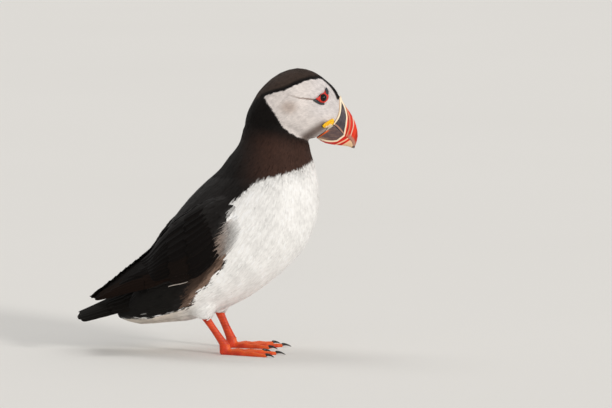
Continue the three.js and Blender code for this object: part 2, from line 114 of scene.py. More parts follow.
def line_reach(points: Array, line: Places) -> tuple[Array, Array]:
    """Tells how flat points lie to an open line.

    Args:
        points: rows of two coordinates.
        line: the places that the line passes.

    Returns:
        The distance of each point, and -1 where it lies to the right of the line's course.
    """
    best, sign = np.full(len(points), np.inf), np.ones(len(points))
    for start, end in zip(np.array(line[:-1], float), np.array(line[1:], float)):
        span, gap = end - start, points - start
        share = np.clip(gap @ span / max(span @ span, 1e-12), 0.0, 1.0)
        distance = np.linalg.norm(gap - share[:, None] * span, axis=1)
        nearer = distance < best
        best[nearer] = distance[nearer]
        sign[nearer] = np.sign(span[0] * gap[:, 1] - span[1] * gap[:, 0])[nearer]
    return best, sign


def inside_reach(points: Array, outline: Places) -> Array:
    """Measures how far inside a closed outline flat points lie.

    Args:
        points: rows of two coordinates.
        outline: the corners of the outline in order.

    Returns:
        The distance of each point, positive inside and negative outside.
    """
    corners = np.array(outline, float)
    distance = line_reach(points, [*outline, outline[0]])[0]
    odd = np.zeros(len(points), bool)
    x, y = points.T
    for (x1, y1), (x2, y2) in zip(corners, np.roll(corners, -1, axis=0)):
        if y1 != y2:
            odd ^= ((y1 > y) != (y2 > y)) & (x < (x2 - x1) * (y - y1) / (y2 - y1) + x1)
    return np.where(odd, distance, -distance)


def spline(values: Array, at: Array) -> Array:
    """Reads a smooth curve through rows of values.

    Args:
        values: one row for each whole step of the curve.
        at: where to read it, from 0 to the last step, and a little beyond.

    Returns:
        One row for each place.
    """
    first = np.clip(np.floor(at).astype(int), 0, len(values) - 2)
    share = (at - first)[:, None]
    padded = np.vstack([2 * values[0] - values[1], values, 2 * values[-1] - values[-2]])
    before, start, end, after = (padded[first + k] for k in range(4))
    cubic = 3 * (start - end) + after - before
    square = 2 * before - 5 * start + 4 * end - after + share * cubic
    return start + 0.5 * share * (end - before + share * square)


def curve_reach(points: Array, places: Places) -> Array:
    """Signed distance of flat points from a smooth curve through a few places."""
    last = len(places) - 1
    curve = spline(np.array(places, float), np.linspace(0, last, 6 * last + 1))
    return np.multiply(*line_reach(points, curve))


def waves(points: Array, length: float, seed: int) -> Array:
    """Makes a smooth value that wanders from about -1 to 1 over space.

    Args:
        points: rows of coordinates in millimetres.
        length: the typical size of its blotches.
        seed: picks the pattern.

    Returns:
        One value for each point.
    """
    rng, count = np.random.default_rng(seed), 7
    total = np.zeros(len(points))
    for _ in range(count):
        way = unit(rng.normal(size=points.shape[1])) * 2 * math.pi
        way = way / (length * rng.uniform(0.7, 1.6))
        total += np.sin(points @ way + rng.uniform(0, TURN))
    return total / math.sqrt(count)


def to_head(points: Array) -> Array:
    """Turns points of the bird's frame into (u, side, v) of the head's frame."""
    cos, sin = math.cos(HEAD_TILT), math.sin(HEAD_TILT)
    dx, dz = points[:, 0] - HEAD_PIVOT[0], points[:, 2] - HEAD_PIVOT[1]
    return np.column_stack([dx * cos - dz * sin, points[:, 1], dx * sin + dz * cos])


def from_head(points: Array) -> Array:
    """Turns (u, side, v) of the head's frame into points of the bird's frame."""
    cos, sin = math.cos(HEAD_TILT), math.sin(HEAD_TILT)
    u, side, v = points.T
    x, z = HEAD_PIVOT[0] + u * cos + v * sin, HEAD_PIVOT[1] - u * sin + v * cos
    return np.column_stack([x, side, z])


def marking_plane(points: Array) -> Array:
    """The plane in which the markings are laid out, the same on both sides of the bird."""
    lowered = (points[:, 2] - VIEW_HEIGHT) * math.cos(VIEW_TILT)
    height = VIEW_HEIGHT + lowered - np.abs(points[:, 1]) * math.sin(VIEW_TILT)
    return np.column_stack([points[:, 0], height])


def head_plane(points: Array) -> Array:
    """The marking plane turned level with the head, as rows of (u, v)."""
    x, height = marking_plane(points).T
    return to_head(np.column_stack([x, x * 0, height]))[:, [0, 2]]


# ---- Meshes ----


def linked(name: str, data: bpy.types.ID) -> bpy.types.Object:
    """Makes an object of some data and links it to the scene."""
    thing = bpy.data.objects.new(name, data)
    bpy.context.scene.collection.objects.link(thing)
    return thing


def select(*things: bpy.types.Object) -> None:
    """Selects these objects alone and makes the first one active."""
    bpy.ops.object.select_all(action="DESELECT")
    for thing in things:
        thing.hide_viewport = False
        thing.select_set(True)
    bpy.context.view_layer.objects.active = things[0]


def read(rows: bpy.types.bpy_prop_collection, key: str, width: int, kind: type = float) -> Array:
    """Reads one property of many items, one row for each item."""
    flat = np.empty(len(rows) * width, kind)
    rows.foreach_get(key, flat)
    return flat.reshape(-1, width)


class Piece:
    """One mesh object of the bird, read and written in millimetres."""

    def __init__(self, thing: bpy.types.Object) -> None:
        """Wraps a mesh object."""
        self.thing = thing

    @property
    def mesh(self) -> bpy.types.Mesh:
        """The mesh of the piece."""
        return self.thing.data

    @classmethod
    def active(cls, name: str) -> "Piece":
        """Names and wraps the object that an operator has just made."""
        thing = bpy.context.view_layer.objects.active
        thing.name = name
        return cls(thing)

    @classmethod
    def copied(cls, name: str, nodes: Sequence[str], frame: dict) -> "Piece":
        """Copies CAD nodes into one new piece with its doubles merged.

        Args:
            name: the name of the new piece.
            nodes: the CAD nodes to copy.

        Returns:
            The new piece, with no parent and no material.
        """
        copies = [linked(name, frame["nodes"][node].data.copy()) for node in nodes]
        for twin in copies:
            twin.data.materials.clear()
        select(*copies)
        if len(copies) > 1:
            bpy.ops.object.join()
        piece = cls.active(name)
        piece.edit(bpy.ops.mesh.remove_doubles, threshold=1e-6)
        return piece

    def edit(self, operator: Callable[..., object], **settings: object) -> None:
        """Runs one operator of edit mode on the whole mesh.

        Args:
            operator: the operator.
            settings: what it is called with.
        """
        select(self.thing)
        bpy.ops.object.mode_set(mode="EDIT")
        bpy.ops.mesh.select_all(action="SELECT")
        operator(**settings)
        bpy.ops.object.mode_set(mode="OBJECT")

    def modify(self, kind: str, **settings: object) -> None:
        """Adds one modifier and applies it.

        Args:
            kind: the type of the modifier.
            settings: its properties.
        """
        select(self.thing)
        modifier = self.thing.modifiers.new(kind.title(), kind)
        for key, value in settings.items():
            setattr(modifier, key, value)
        bpy.ops.object.modifier_apply(modifier=modifier.name)

    def remesh(self, grain: float, rounds: int) -> "Piece":
        """Turns the piece into one even shell of a grain in millimetres, and smooths it."""
        self.modify("REMESH", mode="VOXEL", voxel_size=grain * MM)
        self.modify("SMOOTH", factor=0.5, iterations=rounds)
        return self

    def points(self) -> Array:
        """The places of the vertices."""
        return read(self.mesh.vertices, "co", 3) / MM

    def normals(self) -> Array:
        """The normals of the vertices."""
        return read(self.mesh.vertex_normals, "vector", 3)

    def triangles(self, key: str = "vertices") -> Array:
        """The vertices, or the loops, of each triangle."""
        self.mesh.calc_loop_triangles()
        return read(self.mesh.loop_triangles, key, 3, np.int32)

    def place(self, points: Array) -> None:
        """Moves the vertices to these places."""
        self.mesh.vertices.foreach_set("co", (points * MM).astype(np.float32).ravel())
        self.mesh.update()

    def outwards(self) -> None:
        """Turns all faces of a closed piece outwards."""
        self.edit(bpy.ops.mesh.normals_make_consistent, inside=False)

    def keep_largest(self) -> "Piece":
        """Deletes all but the largest connected shell."""
        self.edit(bpy.ops.mesh.separate, type="LOOSE")
        shells = sorted(bpy.context.selected_objects, key=lambda one: len(one.data.vertices))
        if shells.pop() != self.thing:
            raise RuntimeError(f"{self.thing.name}: the main shell was parted off")
        for crumb in shells:
            bpy.data.objects.remove(crumb)
        return self

    def store(self, name: str, *columns: Array) -> None:
        """Stores a value, a vector or a colour for each vertex.

        Args:
            name: the name of the attribute.
            columns: its numbers: one, three or four for each vertex.
        """
        values = np.column_stack(columns).astype(np.float32)
        kind, key = {1: ("FLOAT", "value"), 3: ("FLOAT_VECTOR", "vector"),
                     4: ("FLOAT_COLOR", "color")}[values.shape[1]]
        self.mesh.attributes.new(name, kind, "POINT").data.foreach_set(key, values.ravel())

    def tint(self, colours: Array) -> None:
        """Stores the colour of the plumage for each vertex."""
        self.store("Tint", colours, np.ones(len(colours)))

    def finish(self, slot: str, material: Optional[bpy.types.Material] = None,
               replaced: Sequence[str] = (), crease: float = 0.0) -> None:
        """Dresses the finished piece and ties it to the bird.

        Args:
            slot: the record's material slot, which is not used.
            material: what it is dressed in, unless it already has its materials.
            replaced: the CAD nodes that it stands for.
            crease: the angle in degrees from which its edges stay sharp, or 0 for none.
        """
        if material:
            self.mesh.materials.append(material)
        faces = self.mesh.polygons
        faces.foreach_set("use_smooth", np.ones(len(faces), bool))
        self.mesh.update()
        if crease:
            select(self.thing)
            bpy.ops.object.shade_smooth_by_angle(angle=math.radians(crease))
        if replaced:
            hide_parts(*replaced)
        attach(self.thing, "root")
        LOG.info("%s: %d faces", self.thing.name, len(self.mesh.polygons))


class Heap:
    """Many small closed shapes gathered as arrays and written as one mesh."""

    def __init__(self) -> None:
        """Starts an empty heap."""
        self.parts: list[tuple[Array, ...]] = []
        self.count = 0

    def add(self, points: Array, faces: Array, *rows: Array) -> None:
        """Adds a shape.

        Args:
            points: its vertices.
            faces: the triangles over them.
            rows: the tint, the place on the vane and the place on the baked map of each vertex.
        """
        self.parts.append((points, faces + self.count, *rows))
        self.count += len(points)

    def build(self, name: str) -> Piece:
        """Writes all that was gathered as one piece.

        Args:
            name: the name of the piece.

        Returns:
            The piece, with the attribute Tint and the maps OFBake and Vane.
        """
        points, faces, tints, vanes, skins = (np.vstack(rows) for rows in zip(*self.parts))
        corners = faces.astype(np.int32).ravel()
        mesh = bpy.data.meshes.new(name)
        mesh.vertices.add(len(points))
        mesh.vertices.foreach_set("co", (points * MM).astype(np.float32).ravel())
        mesh.loops.add(len(corners))
        mesh.loops.foreach_set("vertex_index", corners)
        mesh.polygons.add(len(faces))
        mesh.polygons.foreach_set("loop_start", np.arange(0, len(corners), 3, dtype=np.int32))
        mesh.update(calc_edges=True)
        for key, rows in (("OFBake", skins), ("Vane", vanes)):
            layer = mesh.uv_layers.new(name=key)
            layer.data.foreach_set("uv", rows[corners].astype(np.float32).ravel())
        piece = Piece(linked(name, mesh))
        piece.tint(tints)
        return piece


# ---- Finishes ----


def sign(operation: str, swapped: bool = False) -> Callable[["Value", object], "Value"]:
    """Makes the method behind one sign of arithmetic.

    Args:
        operation: the operation of the Math node.
        swapped: True for the reflected form.

    Returns:
        The method.
    """
    def apply(value: "Value", other: object) -> "Value":
        """Works this value and another into a new one."""
        return value.maths(operation, *((other, value) if swapped else (value, other)))
    return apply


class Value:
    """A number that varies over a surface; sums and products of it add Math nodes."""

    def __init__(self, kit: "Kit", socket: bpy.types.NodeSocket) -> None:
        self.kit, self.socket = kit, socket

    def maths(self, operation: str, *terms: object) -> "Value":
        """Adds one Math node that works on the given terms."""
        inputs = dict(enumerate(terms))
        return self.kit.value("ShaderNodeMath", {"operation": operation}, inputs)

    __add__, __radd__ = sign("ADD"), sign("ADD", True)
    __sub__, __rsub__ = sign("SUBTRACT"), sign("SUBTRACT", True)
    __mul__, __rmul__ = sign("MULTIPLY"), sign("MULTIPLY", True)
    least, most = sign("MINIMUM"), sign("MAXIMUM")

    def size(self) -> "Value":
        """This value without its sign."""
        return self.maths("ABSOLUTE", self)

    def wave(self) -> "Value":
        """The sine of this value."""
        return self.maths("SINE", self)

    def step(self, low: float, high: float) -> "Value":
        """Rises from 0 at low to 1 at high, or falls where high is the smaller."""
        ends = (low, high, 0.0, 1.0) if low < high else (high, low, 1.0, 0.0)
        settings = {"interpolation_type": "SMOOTHSTEP"}
        return self.kit.value("ShaderNodeMapRange", settings, dict(enumerate((self, *ends))))


Term = Union[float, tuple, bpy.types.NodeSocket, Value]


class Kit:
    """Makes the nodes of one material."""

    def __init__(self, name: str) -> None:
        """Starts a material with a Principled shader and an output."""
        self.material = bpy.data.materials.new(name)
        self.material.use_nodes = True
        self.tree = self.material.node_tree
        self.tree.nodes.clear()
        self.shader = self.node("ShaderNodeBsdfPrincipled")
        self.node("ShaderNodeOutputMaterial", {}, {"Surface": self.shader.outputs[0]})

    def node(self, kind: str, settings: Optional[dict] = None,
             inputs: Optional[dict] = None) -> bpy.types.Node:
        """Adds one node.

        Args:
            kind: the node's type.
            settings: its properties.
            inputs: values or links for its sockets, by name or number.

        Returns:
            The node.
        """
        made = self.tree.nodes.new(kind)
        for key, value in (settings or {}).items():
            setattr(made, key, value)
        for key, term in (inputs or {}).items():
            self.feed(made.inputs[key], term)
        return made

    def value(self, kind: str, settings: dict, inputs: dict, output: int = 0) -> Value:
        """Adds one node and wraps one of its outputs."""
        return Value(self, self.node(kind, settings, inputs).outputs[output])

    def feed(self, socket: bpy.types.NodeSocket, term: Term) -> None:
        """Links a term to a socket, or sets the socket to it.

        Args:
            socket: an input socket.
            term: a value, a socket, a colour, a vector or a number.
        """
        if isinstance(term, Value):
            term = term.socket
        if isinstance(term, bpy.types.NodeSocket):
            self.tree.links.new(term, socket)
        elif isinstance(term, tuple) and socket.type == "RGBA":
            socket.default_value = (*term[:3], 1.0)
        else:
            socket.default_value = term

    def set(self, **values: Term) -> None:
        """Sets or links the shader's sockets, with underscores for spaces in their names."""
        for key, term in values.items():
            self.feed(self.shader.inputs[key.replace("_", " ")], term)

    def stored(self, name: str, output: str = "Color") -> bpy.types.NodeSocket:
        """Reads a stored attribute of the mesh."""
        return self.node("ShaderNodeAttribute", {"attribute_name": name}).outputs[output]

    def parts(self, vector: bpy.types.NodeSocket) -> list[Value]:
        """Splits a vector into its three numbers."""
        split = self.node("ShaderNodeSeparateXYZ", {}, {0: vector})
        return [Value(self, output) for output in split.outputs]

    def values_of(self, name: str) -> list[Value]:
        """Reads the three numbers of a stored vector of the mesh."""
        return self.parts(self.stored(name, "Vector"))

    def vane(self) -> tuple[Value, Value]:
        """How far a place lies from its feather's shaft, and how far along it."""
        node = self.node("ShaderNodeUVMap", {"uv_map": "Vane"})
        across, along, _ = self.parts(node.outputs[0])
        return (across - 0.5).size(), along

    def place(self) -> bpy.types.NodeSocket:
        """The place on the piece, in metres."""
        return self.node("ShaderNodeTexCoord").outputs["Object"]

    def noise(self, scale: float, detail: float, where: Optional[Term] = None) -> Value:
        """Cloudy noise from 0 to 1."""
        inputs = {"Vector": where or self.place(), "Scale": scale, "Detail": detail}
        return self.value("ShaderNodeTexNoise", {}, inputs)

    def mix(self, share: Term, first: Term, second: Term,
            blend: str = "MIX") -> bpy.types.NodeSocket:
        """Mixes two colours by a share."""
        settings = {"data_type": "RGBA", "blend_type": blend}
        return self.node("ShaderNodeMix", settings, {0: share, 6: first, 7: second}).outputs[2]

    def layers(self, colour: Term, *layers: tuple[Term, Term]) -> Term:
        """Lays tones over a colour.

        Args:
            colour: what lies below.
            layers: for each tone, from the lowest, its share and the tone.

        Returns:
            The colour with its layers.
        """
        for share, tone in layers:
            colour = self.mix(share, colour, tone)
        return colour

    def shaded(self, colour: Term, shade: Value) -> bpy.types.NodeSocket:
        """Multiplies a colour by a shade."""
        return self.mix(1.0, colour, shade, "MULTIPLY")

    def bump(self, height: Term, strength: float, depth: float) -> bpy.types.Material:
        """Gives the surface small relief, with its depth in millimetres, and ends the material."""
        inputs = {"Height": height, "Strength": strength, "Distance": depth * MM}
        self.set(Normal=self.node("ShaderNodeBump", {}, inputs).outputs[0])
        return self.material


@dataclass(frozen=True)
class VaneFinish:
    """The look of small contour feathers, tinted by their own place on the bird."""

    name: str
    roughness: float
    sheen: float
    specular: float
    barbs: float
    relief: float
    streaks: float

    def material(self) -> bpy.types.Material:
        """Makes the material: tint, faint streaks along the vane, and barbs as relief."""
        kit, streaks = Kit(self.name), self.streaks
        slant, along = kit.vane()
        barbs = ((along * self.barbs - slant * 2.2) * TURN).wave()
        cloud = kit.noise(420.0, 3.0)
        shade = 1.0 - streaks + (cloud - 0.5) * (2 * streaks) + along * streaks
        shade = shade + barbs * (0.25 * streaks) - slant * (0.5 * streaks)
        kit.set(
            Base_Color=kit.shaded(kit.stored("Tint"), shade),
            Roughness=(cloud - 0.5) * 0.2 + self.roughness,
            Specular_IOR_Level=self.specular,
            Sheen_Weight=self.sheen,
            Sheen_Roughness=0.45,
        )
        return kit.bump(barbs * 0.5 + cloud, self.relief, 0.12)


@dataclass(frozen=True)
class FlightFinish:
    """The look of the stiff feathers of wing and tail."""

    # edge: a painted highlight along the rims of the quills
    edge: Colour = srgb(38, 29, 24)

    def material(self) -> bpy.types.Material:
        """Makes the material: a dark shaft, fine barbs, and edges painted slightly browner as a
        highlight.
        """
        kit = Kit("stiff wing feathers")
        slant, along = kit.vane()
        cloud = kit.noise(260.0, 4.0)
        barbs = ((along * 70.0 - slant * 9.0 + cloud * 0.6) * TURN).wave()
        shaft = slant.step(0.05, 0.02)
        rim = slant.step(0.36, 0.5) * (0.35 + cloud * 0.5)
        colour = kit.shaded(kit.stored("Tint"), 0.8 + cloud * 0.35 + barbs * 0.06 + shaft * 0.25)
        kit.set(
            # the rims are painted lighter brown as a highlight
            Base_Color=kit.mix(rim * 0.5, colour, self.edge),
            Roughness=0.5 + cloud * 0.16 - shaft * 0.1,
            Specular_IOR_Level=0.05,
        )
        return kit.bump(barbs * 0.5 + cloud * 0.5, 0.3, 0.1)


@dataclass(frozen=True)
class SkinFinish:
    """The look of the skin under the coat, with the coat's markings."""

    roughness: float = 0.85

    def material(self) -> bpy.types.Material:
        """Makes the material: the coat's tint, slightly darker, with down as relief."""
        kit = Kit("down over the skin")
        cloud = kit.noise(900.0, 4.0)
        kit.set(
            Base_Color=kit.shaded(kit.stored("Tint"), cloud * 0.16 + 0.86),
            Roughness=self.roughness,
            Specular_IOR_Level=0.2,
        )
        return kit.bump(cloud, 0.6, 0.4)


@dataclass(frozen=True)
class LegFinish:
    """The look of the scaly orange legs and the webs."""

    deep: Colour = srgb(184, 34, 5)
    bright: Colour = srgb(224, 62, 10)
    # ridge is a painted highlight on the raised scutes, and crease is painted shade in the folds of
    # the webs
    ridge: Colour = srgb(240, 104, 30)
    crease: Colour = srgb(120, 14, 4)

    def material(self) -> bpy.types.Material:
        """Makes the material: a painted highlight on the scute ridges, small scales, and painted
        shade in the folds of the webs.
        """
        kit = Kit("scaly orange skin")
        ridge, fold, web = kit.values_of("Leg")
        cells = {"Vector": kit.place(), "Scale": 900.0}
        scales = kit.value("ShaderNodeTexVoronoi", {"feature": "F1"}, cells)
        cloud = kit.noise(160.0, 3.0)
        # the ridge tone paints a highlight on the scutes, and the crease tone paints shade in the
        # web folds
        colour = kit.layers(
            self.deep, (cloud.step(0.3, 0.7), self.bright), (ridge * 0.8, self.ridge),
            (fold * 0.75, self.crease),
        )
        kit.set(
            Base_Color=kit.shaded(colour, 1.06 - scales * 0.2),
            Roughness=0.42 + cloud * 0.15 + web * 0.05,
            Specular_IOR_Level=0.45,
            Subsurface_Weight=0.12,
            Subsurface_Radius=(0.0015, 0.0004, 0.0002),
            Subsurface_Scale=1.0,
        )
        return kit.bump(1.0 - scales, 0.5, 0.18)


class HornKit(Kit):
    """Makes the nodes of streaked bill horn, from the distances to its ridges and grooves."""

    def __init__(self, name: str, scale: Colour, turn: float) -> None:
        """Starts the material.

        Args:
            name: its name.
            scale: how fine its streaks are along each axis.
            turn: how far they are turned in the bill's plane, in radians.
        """
        super().__init__(name)
        self.ridges, self.grooves = self.values_of("Ridges"), self.values_of("Grooves")
        inputs = {"Vector": self.place(), "Rotation": (0.0, turn, 0.0), "Scale": scale}
        self.streak = self.noise(1.0, 3.0, self.node("ShaderNodeMapping", {}, inputs).outputs[0])
        self.cloud = self.noise(420.0, 3.0)

    def cover(self, colour: Term, roughness: float) -> bpy.types.Material:
        """Ends the material with a streaked colour and a roughness."""
        self.set(
            Base_Color=self.shaded(colour, 0.88 + self.streak * 0.22),
            Roughness=roughness + self.cloud * 0.2,
            Specular_IOR_Level=0.3,
        )
        return self.bump(self.streak + self.cloud * 0.4, 0.2, 0.1)


@dataclass(frozen=True)
class UpperBillFinish:
    """The look of the upper bill: slate plate, cream ridges and grooved red horn."""

    slate: Colour = srgb(66, 58, 64)
    light_slate: Colour = srgb(104, 92, 96)
    deep_slate: Colour = srgb(38, 32, 38)
    cream: Colour = srgb(250, 234, 204)
    peach: Colour = srgb(226, 196, 168)
    red: Colour = srgb(222, 28, 2)
    orange: Colour = srgb(232, 70, 26)
    dark_red: Colour = srgb(128, 12, 4)
    groove: Colour = srgb(220, 142, 106)
    pale_groove: Colour = srgb(242, 190, 166)
    horn: Colour = srgb(178, 128, 110)
    tan: Colour = srgb(176, 132, 112)
    # point: the dark tip, and painted shade round the gape corner
    point: Colour = srgb(66, 44, 38)

    def material(self) -> bpy.types.Material:
        """Makes the material from the stored distances to the ridges and grooves."""
        kit = HornKit("upper bill horn", (900.0, 300.0, 260.0), -0.5)
        (cere, ridge, mouth), (first, second, tip) = kit.ridges, kit.grooves
        shaded_base = ridge.step(-1.3, -0.4).most(cere.step(1.4, 0.5)) * 0.7
        slate = kit.layers(
            self.slate, (kit.streak.step(0.3, 0.75) * 0.45, self.light_slate),
            (shaded_base, self.deep_slate), (mouth.step(1.7, 1.1) * mouth.step(0.2, 0.5), self.tan),
        )
        end = mouth.step(3.6, 1.4) * ridge.step(2.0, 4.5) * (0.55 + kit.streak * 0.9).least(1.0)
        red = kit.layers(
            self.red, (kit.cloud.step(0.35, 0.7) * 0.3, self.orange),
            (ridge.step(1.5, 0.7), self.orange),
            (first.step(-1.5, -1.0) * first.step(-0.3, -0.6) * 0.8, self.dark_red),
            (second.step(-1.2, -0.8) * second.step(-0.2, -0.5) * 0.55, self.dark_red),
            (second.step(0.6, 1.6) * 0.5, self.orange),
            (second.step(2.4, 3.6) * 0.5, self.dark_red),
            (first.size().step(0.62, 0.3), self.groove),
            (second.size().step(0.5, 0.25), self.pale_groove), (end, self.horn),
        )
        colour = kit.layers(
            slate, (ridge.step(-0.1, 0.1), red), (ridge.size().step(0.62, 0.42), self.cream),
            (cere.step(0.05, -0.25), self.peach), (cere.size().step(0.56, 0.38), self.cream),
            # dark at the bill tip, and painted shade round the gape corner
            (tip.step(2.3, 1.3), self.point),
        )
        return kit.cover(colour, 0.34)


@dataclass(frozen=True)
class LowerBillFinish:
    """The look of the lower bill: brown plate, cream rim, red strip and pale tip."""

    brown: Colour = srgb(92, 74, 74)
    warm: Colour = srgb(176, 138, 110)
    cream: Colour = srgb(250, 226, 196)
    pale: Colour = srgb(206, 202, 188)
    orange: Colour = srgb(232, 96, 18)
    red: Colour = srgb(222, 30, 8)
    dark_red: Colour = srgb(140, 18, 6)
    groove: Colour = srgb(246, 196, 158)
    horn: Colour = srgb(230, 192, 150)
    point: Colour = srgb(90, 62, 52)

    def material(self) -> bpy.types.Material:
        """Makes the material from the stored distances to the ridges and grooves."""
        kit = HornKit("lower bill horn", (260.0, 300.0, 900.0), 0.35)
        (base, rim, height), (first, second, tip) = kit.ridges, kit.grooves
        brown = kit.layers(
            self.brown, (kit.streak.step(0.4, 0.8) * 0.35, self.warm),
            (rim.step(3.0, 0.6) * base.step(9.0, 4.0) * 0.75, self.warm),
        )
        red = kit.layers(
            self.red, (kit.cloud.step(0.35, 0.7) * 0.4, self.dark_red),
            (second.step(0.2, -0.3), self.horn), (first.size().step(0.6, 0.3), self.groove),
            (second.size().step(0.6, 0.3), self.groove),
        )
        colour = kit.layers(
            brown, (rim.step(0.1, -0.1), red), (rim.size().step(0.7, 0.45), self.cream),
            (base.step(1.9, 1.3) * height.step(9.5, 7.0), self.orange),
            (base.step(0.9, 0.5), self.pale), (tip.step(1.7, 0.9) * 0.8, self.point),
        )
        return kit.cover(colour, 0.36)


@dataclass(frozen=True)
class GrainedFinish:
    """A plain-coloured finish with its own grain: claws, lids and eye plates."""

    name: str
    light: Colour
    dark: Colour
    roughness: float
    grain: float
    relief: float
    shine: float = 0.0

    def material(self) -> bpy.types.Material:
        """Makes the material: two tones in a fine grain, with relief."""
        kit = Kit(self.name)
        cloud, fine = kit.noise(self.grain, 4.0), kit.noise(self.grain * 4.0, 2.0)
        kit.set(
            Base_Color=kit.mix(cloud.step(0.3, 0.7), self.dark, self.light),
            Roughness=self.roughness + (fine - 0.5) * 0.15,
            Coat_Weight=self.shine,
        )
        return kit.bump(fine + cloud, 0.4, self.relief)


@dataclass(frozen=True)
class RosetteFinish:
    """The look of the folded yellow skin at the gape, with one cream fold."""

    yellow: Colour = srgb(255, 206, 4)
    # deep: painted shade in the valleys of the folds, and random blotches
    deep: Colour = srgb(240, 158, 6)
    cream: Colour = srgb(236, 206, 176)

    def material(self) -> bpy.types.Material:
        """Makes the material from the stored fold valleys, where deeper orange is painted as shade,
        and the stored cream fold.
        """
        kit = Kit("yellow gape skin")
        groove, fold, _ = kit.values_of("Folds")
        cloud = kit.noise(1100.0, 3.0)
        # the deep tone is painted shade in the fold valleys, mixed with random blotches
        colour = kit.mix(groove * 0.7 + cloud.step(0.5, 0.8) * 0.3, self.yellow, self.deep)
        kit.set(
            Base_Color=kit.mix(fold, colour, self.cream),
            Roughness=0.45 + cloud * 0.15,
            Subsurface_Weight=0.1,
            Subsurface_Radius=(0.001, 0.0006, 0.0002),
            Subsurface_Scale=1.0,
        )
        return kit.bump(cloud, 0.3, 0.1)


@dataclass(frozen=True)
class EyeFinish:
    """The look of the eye: a dark brown iris round a black pupil under clear cornea."""

    iris: Colour = srgb(30, 14, 9)
    dark_iris: Colour = srgb(16, 8, 6)
    pupil: Colour = srgb(3, 3, 3)
    pupil_edge: Pair = (1.75, 2.0)

    def material(self) -> bpy.types.Material:
        """Makes the material from the stored distance to the middle of the pupil."""
        kit = Kit("moist dark eye")
        reach = Value(kit, kit.stored("Reach", "Fac"))
        iris = kit.mix(kit.noise(1800.0, 3.0), self.iris, self.dark_iris)
        kit.set(
            Base_Color=kit.mix(reach.step(*self.pupil_edge), self.pupil, iris),
            Roughness=0.12,
            Specular_IOR_Level=0.2,
            Coat_Weight=0.15,
            Coat_Roughness=0.08,
        )
        return kit.material


@dataclass(frozen=True)
class FloorFinish:
    """The look of the plain pale floor."""

    tone: Colour = srgb(236, 235, 232)
    cloud: Colour = srgb(190, 188, 182)

    def material(self) -> bpy.types.Material:
        """Makes a matte pale material with a barely visible unevenness."""
        kit = Kit("pale floor")
        kit.set(
            Base_Color=kit.mix(kit.noise(1.5, 2.0) * 0.1, self.tone, self.cloud),
            Roughness=0.9,
            Specular_IOR_Level=0.1,
        )
        return kit.material


# ---- Markings and the lie of the coat ----


class Tone(Enum):
    """The colours of the plumage, and the painted shade of the groove behind the eye."""

    WHITE = srgb(238, 237, 235)
    VENT = srgb(222, 212, 200)
    FACE = srgb(221, 213, 209)
    FACE_LIGHT = srgb(213, 207, 206)
    EAR = srgb(158, 136, 122)
    # painted shade of the feather groove that runs back from the eye
    CREASE = srgb(122, 100, 88)
    CHIN = srgb(88, 70, 61)
    CAP = srgb(62, 50, 44)
    CAP_RIM = srgb(13, 10, 10)
    NAPE = srgb(13, 8, 6)
    COLLAR = srgb(64, 43, 35)
    BACK = srgb(18, 14, 12)
    RUMP = srgb(18, 16, 14)
    FLANK = srgb(138, 114, 99)
    FLANK_DARK = srgb(58, 44, 36)
    TUFT = srgb(188, 170, 158)

    def under(self, *layers: tuple["Tone", Array]) -> Array:
        """Lays tones over this one.

        Args:
            layers: for each tone, from the lowest, the tone and its share at each point.

        Returns:
            Linear colours, one row for each point.
        """
        colour = np.tile(np.array(self.value), (len(layers[0][1]), 1))
        for tone, share in layers:
            colour = between((colour, np.array(tone.value)), share[:, None])
        return colour


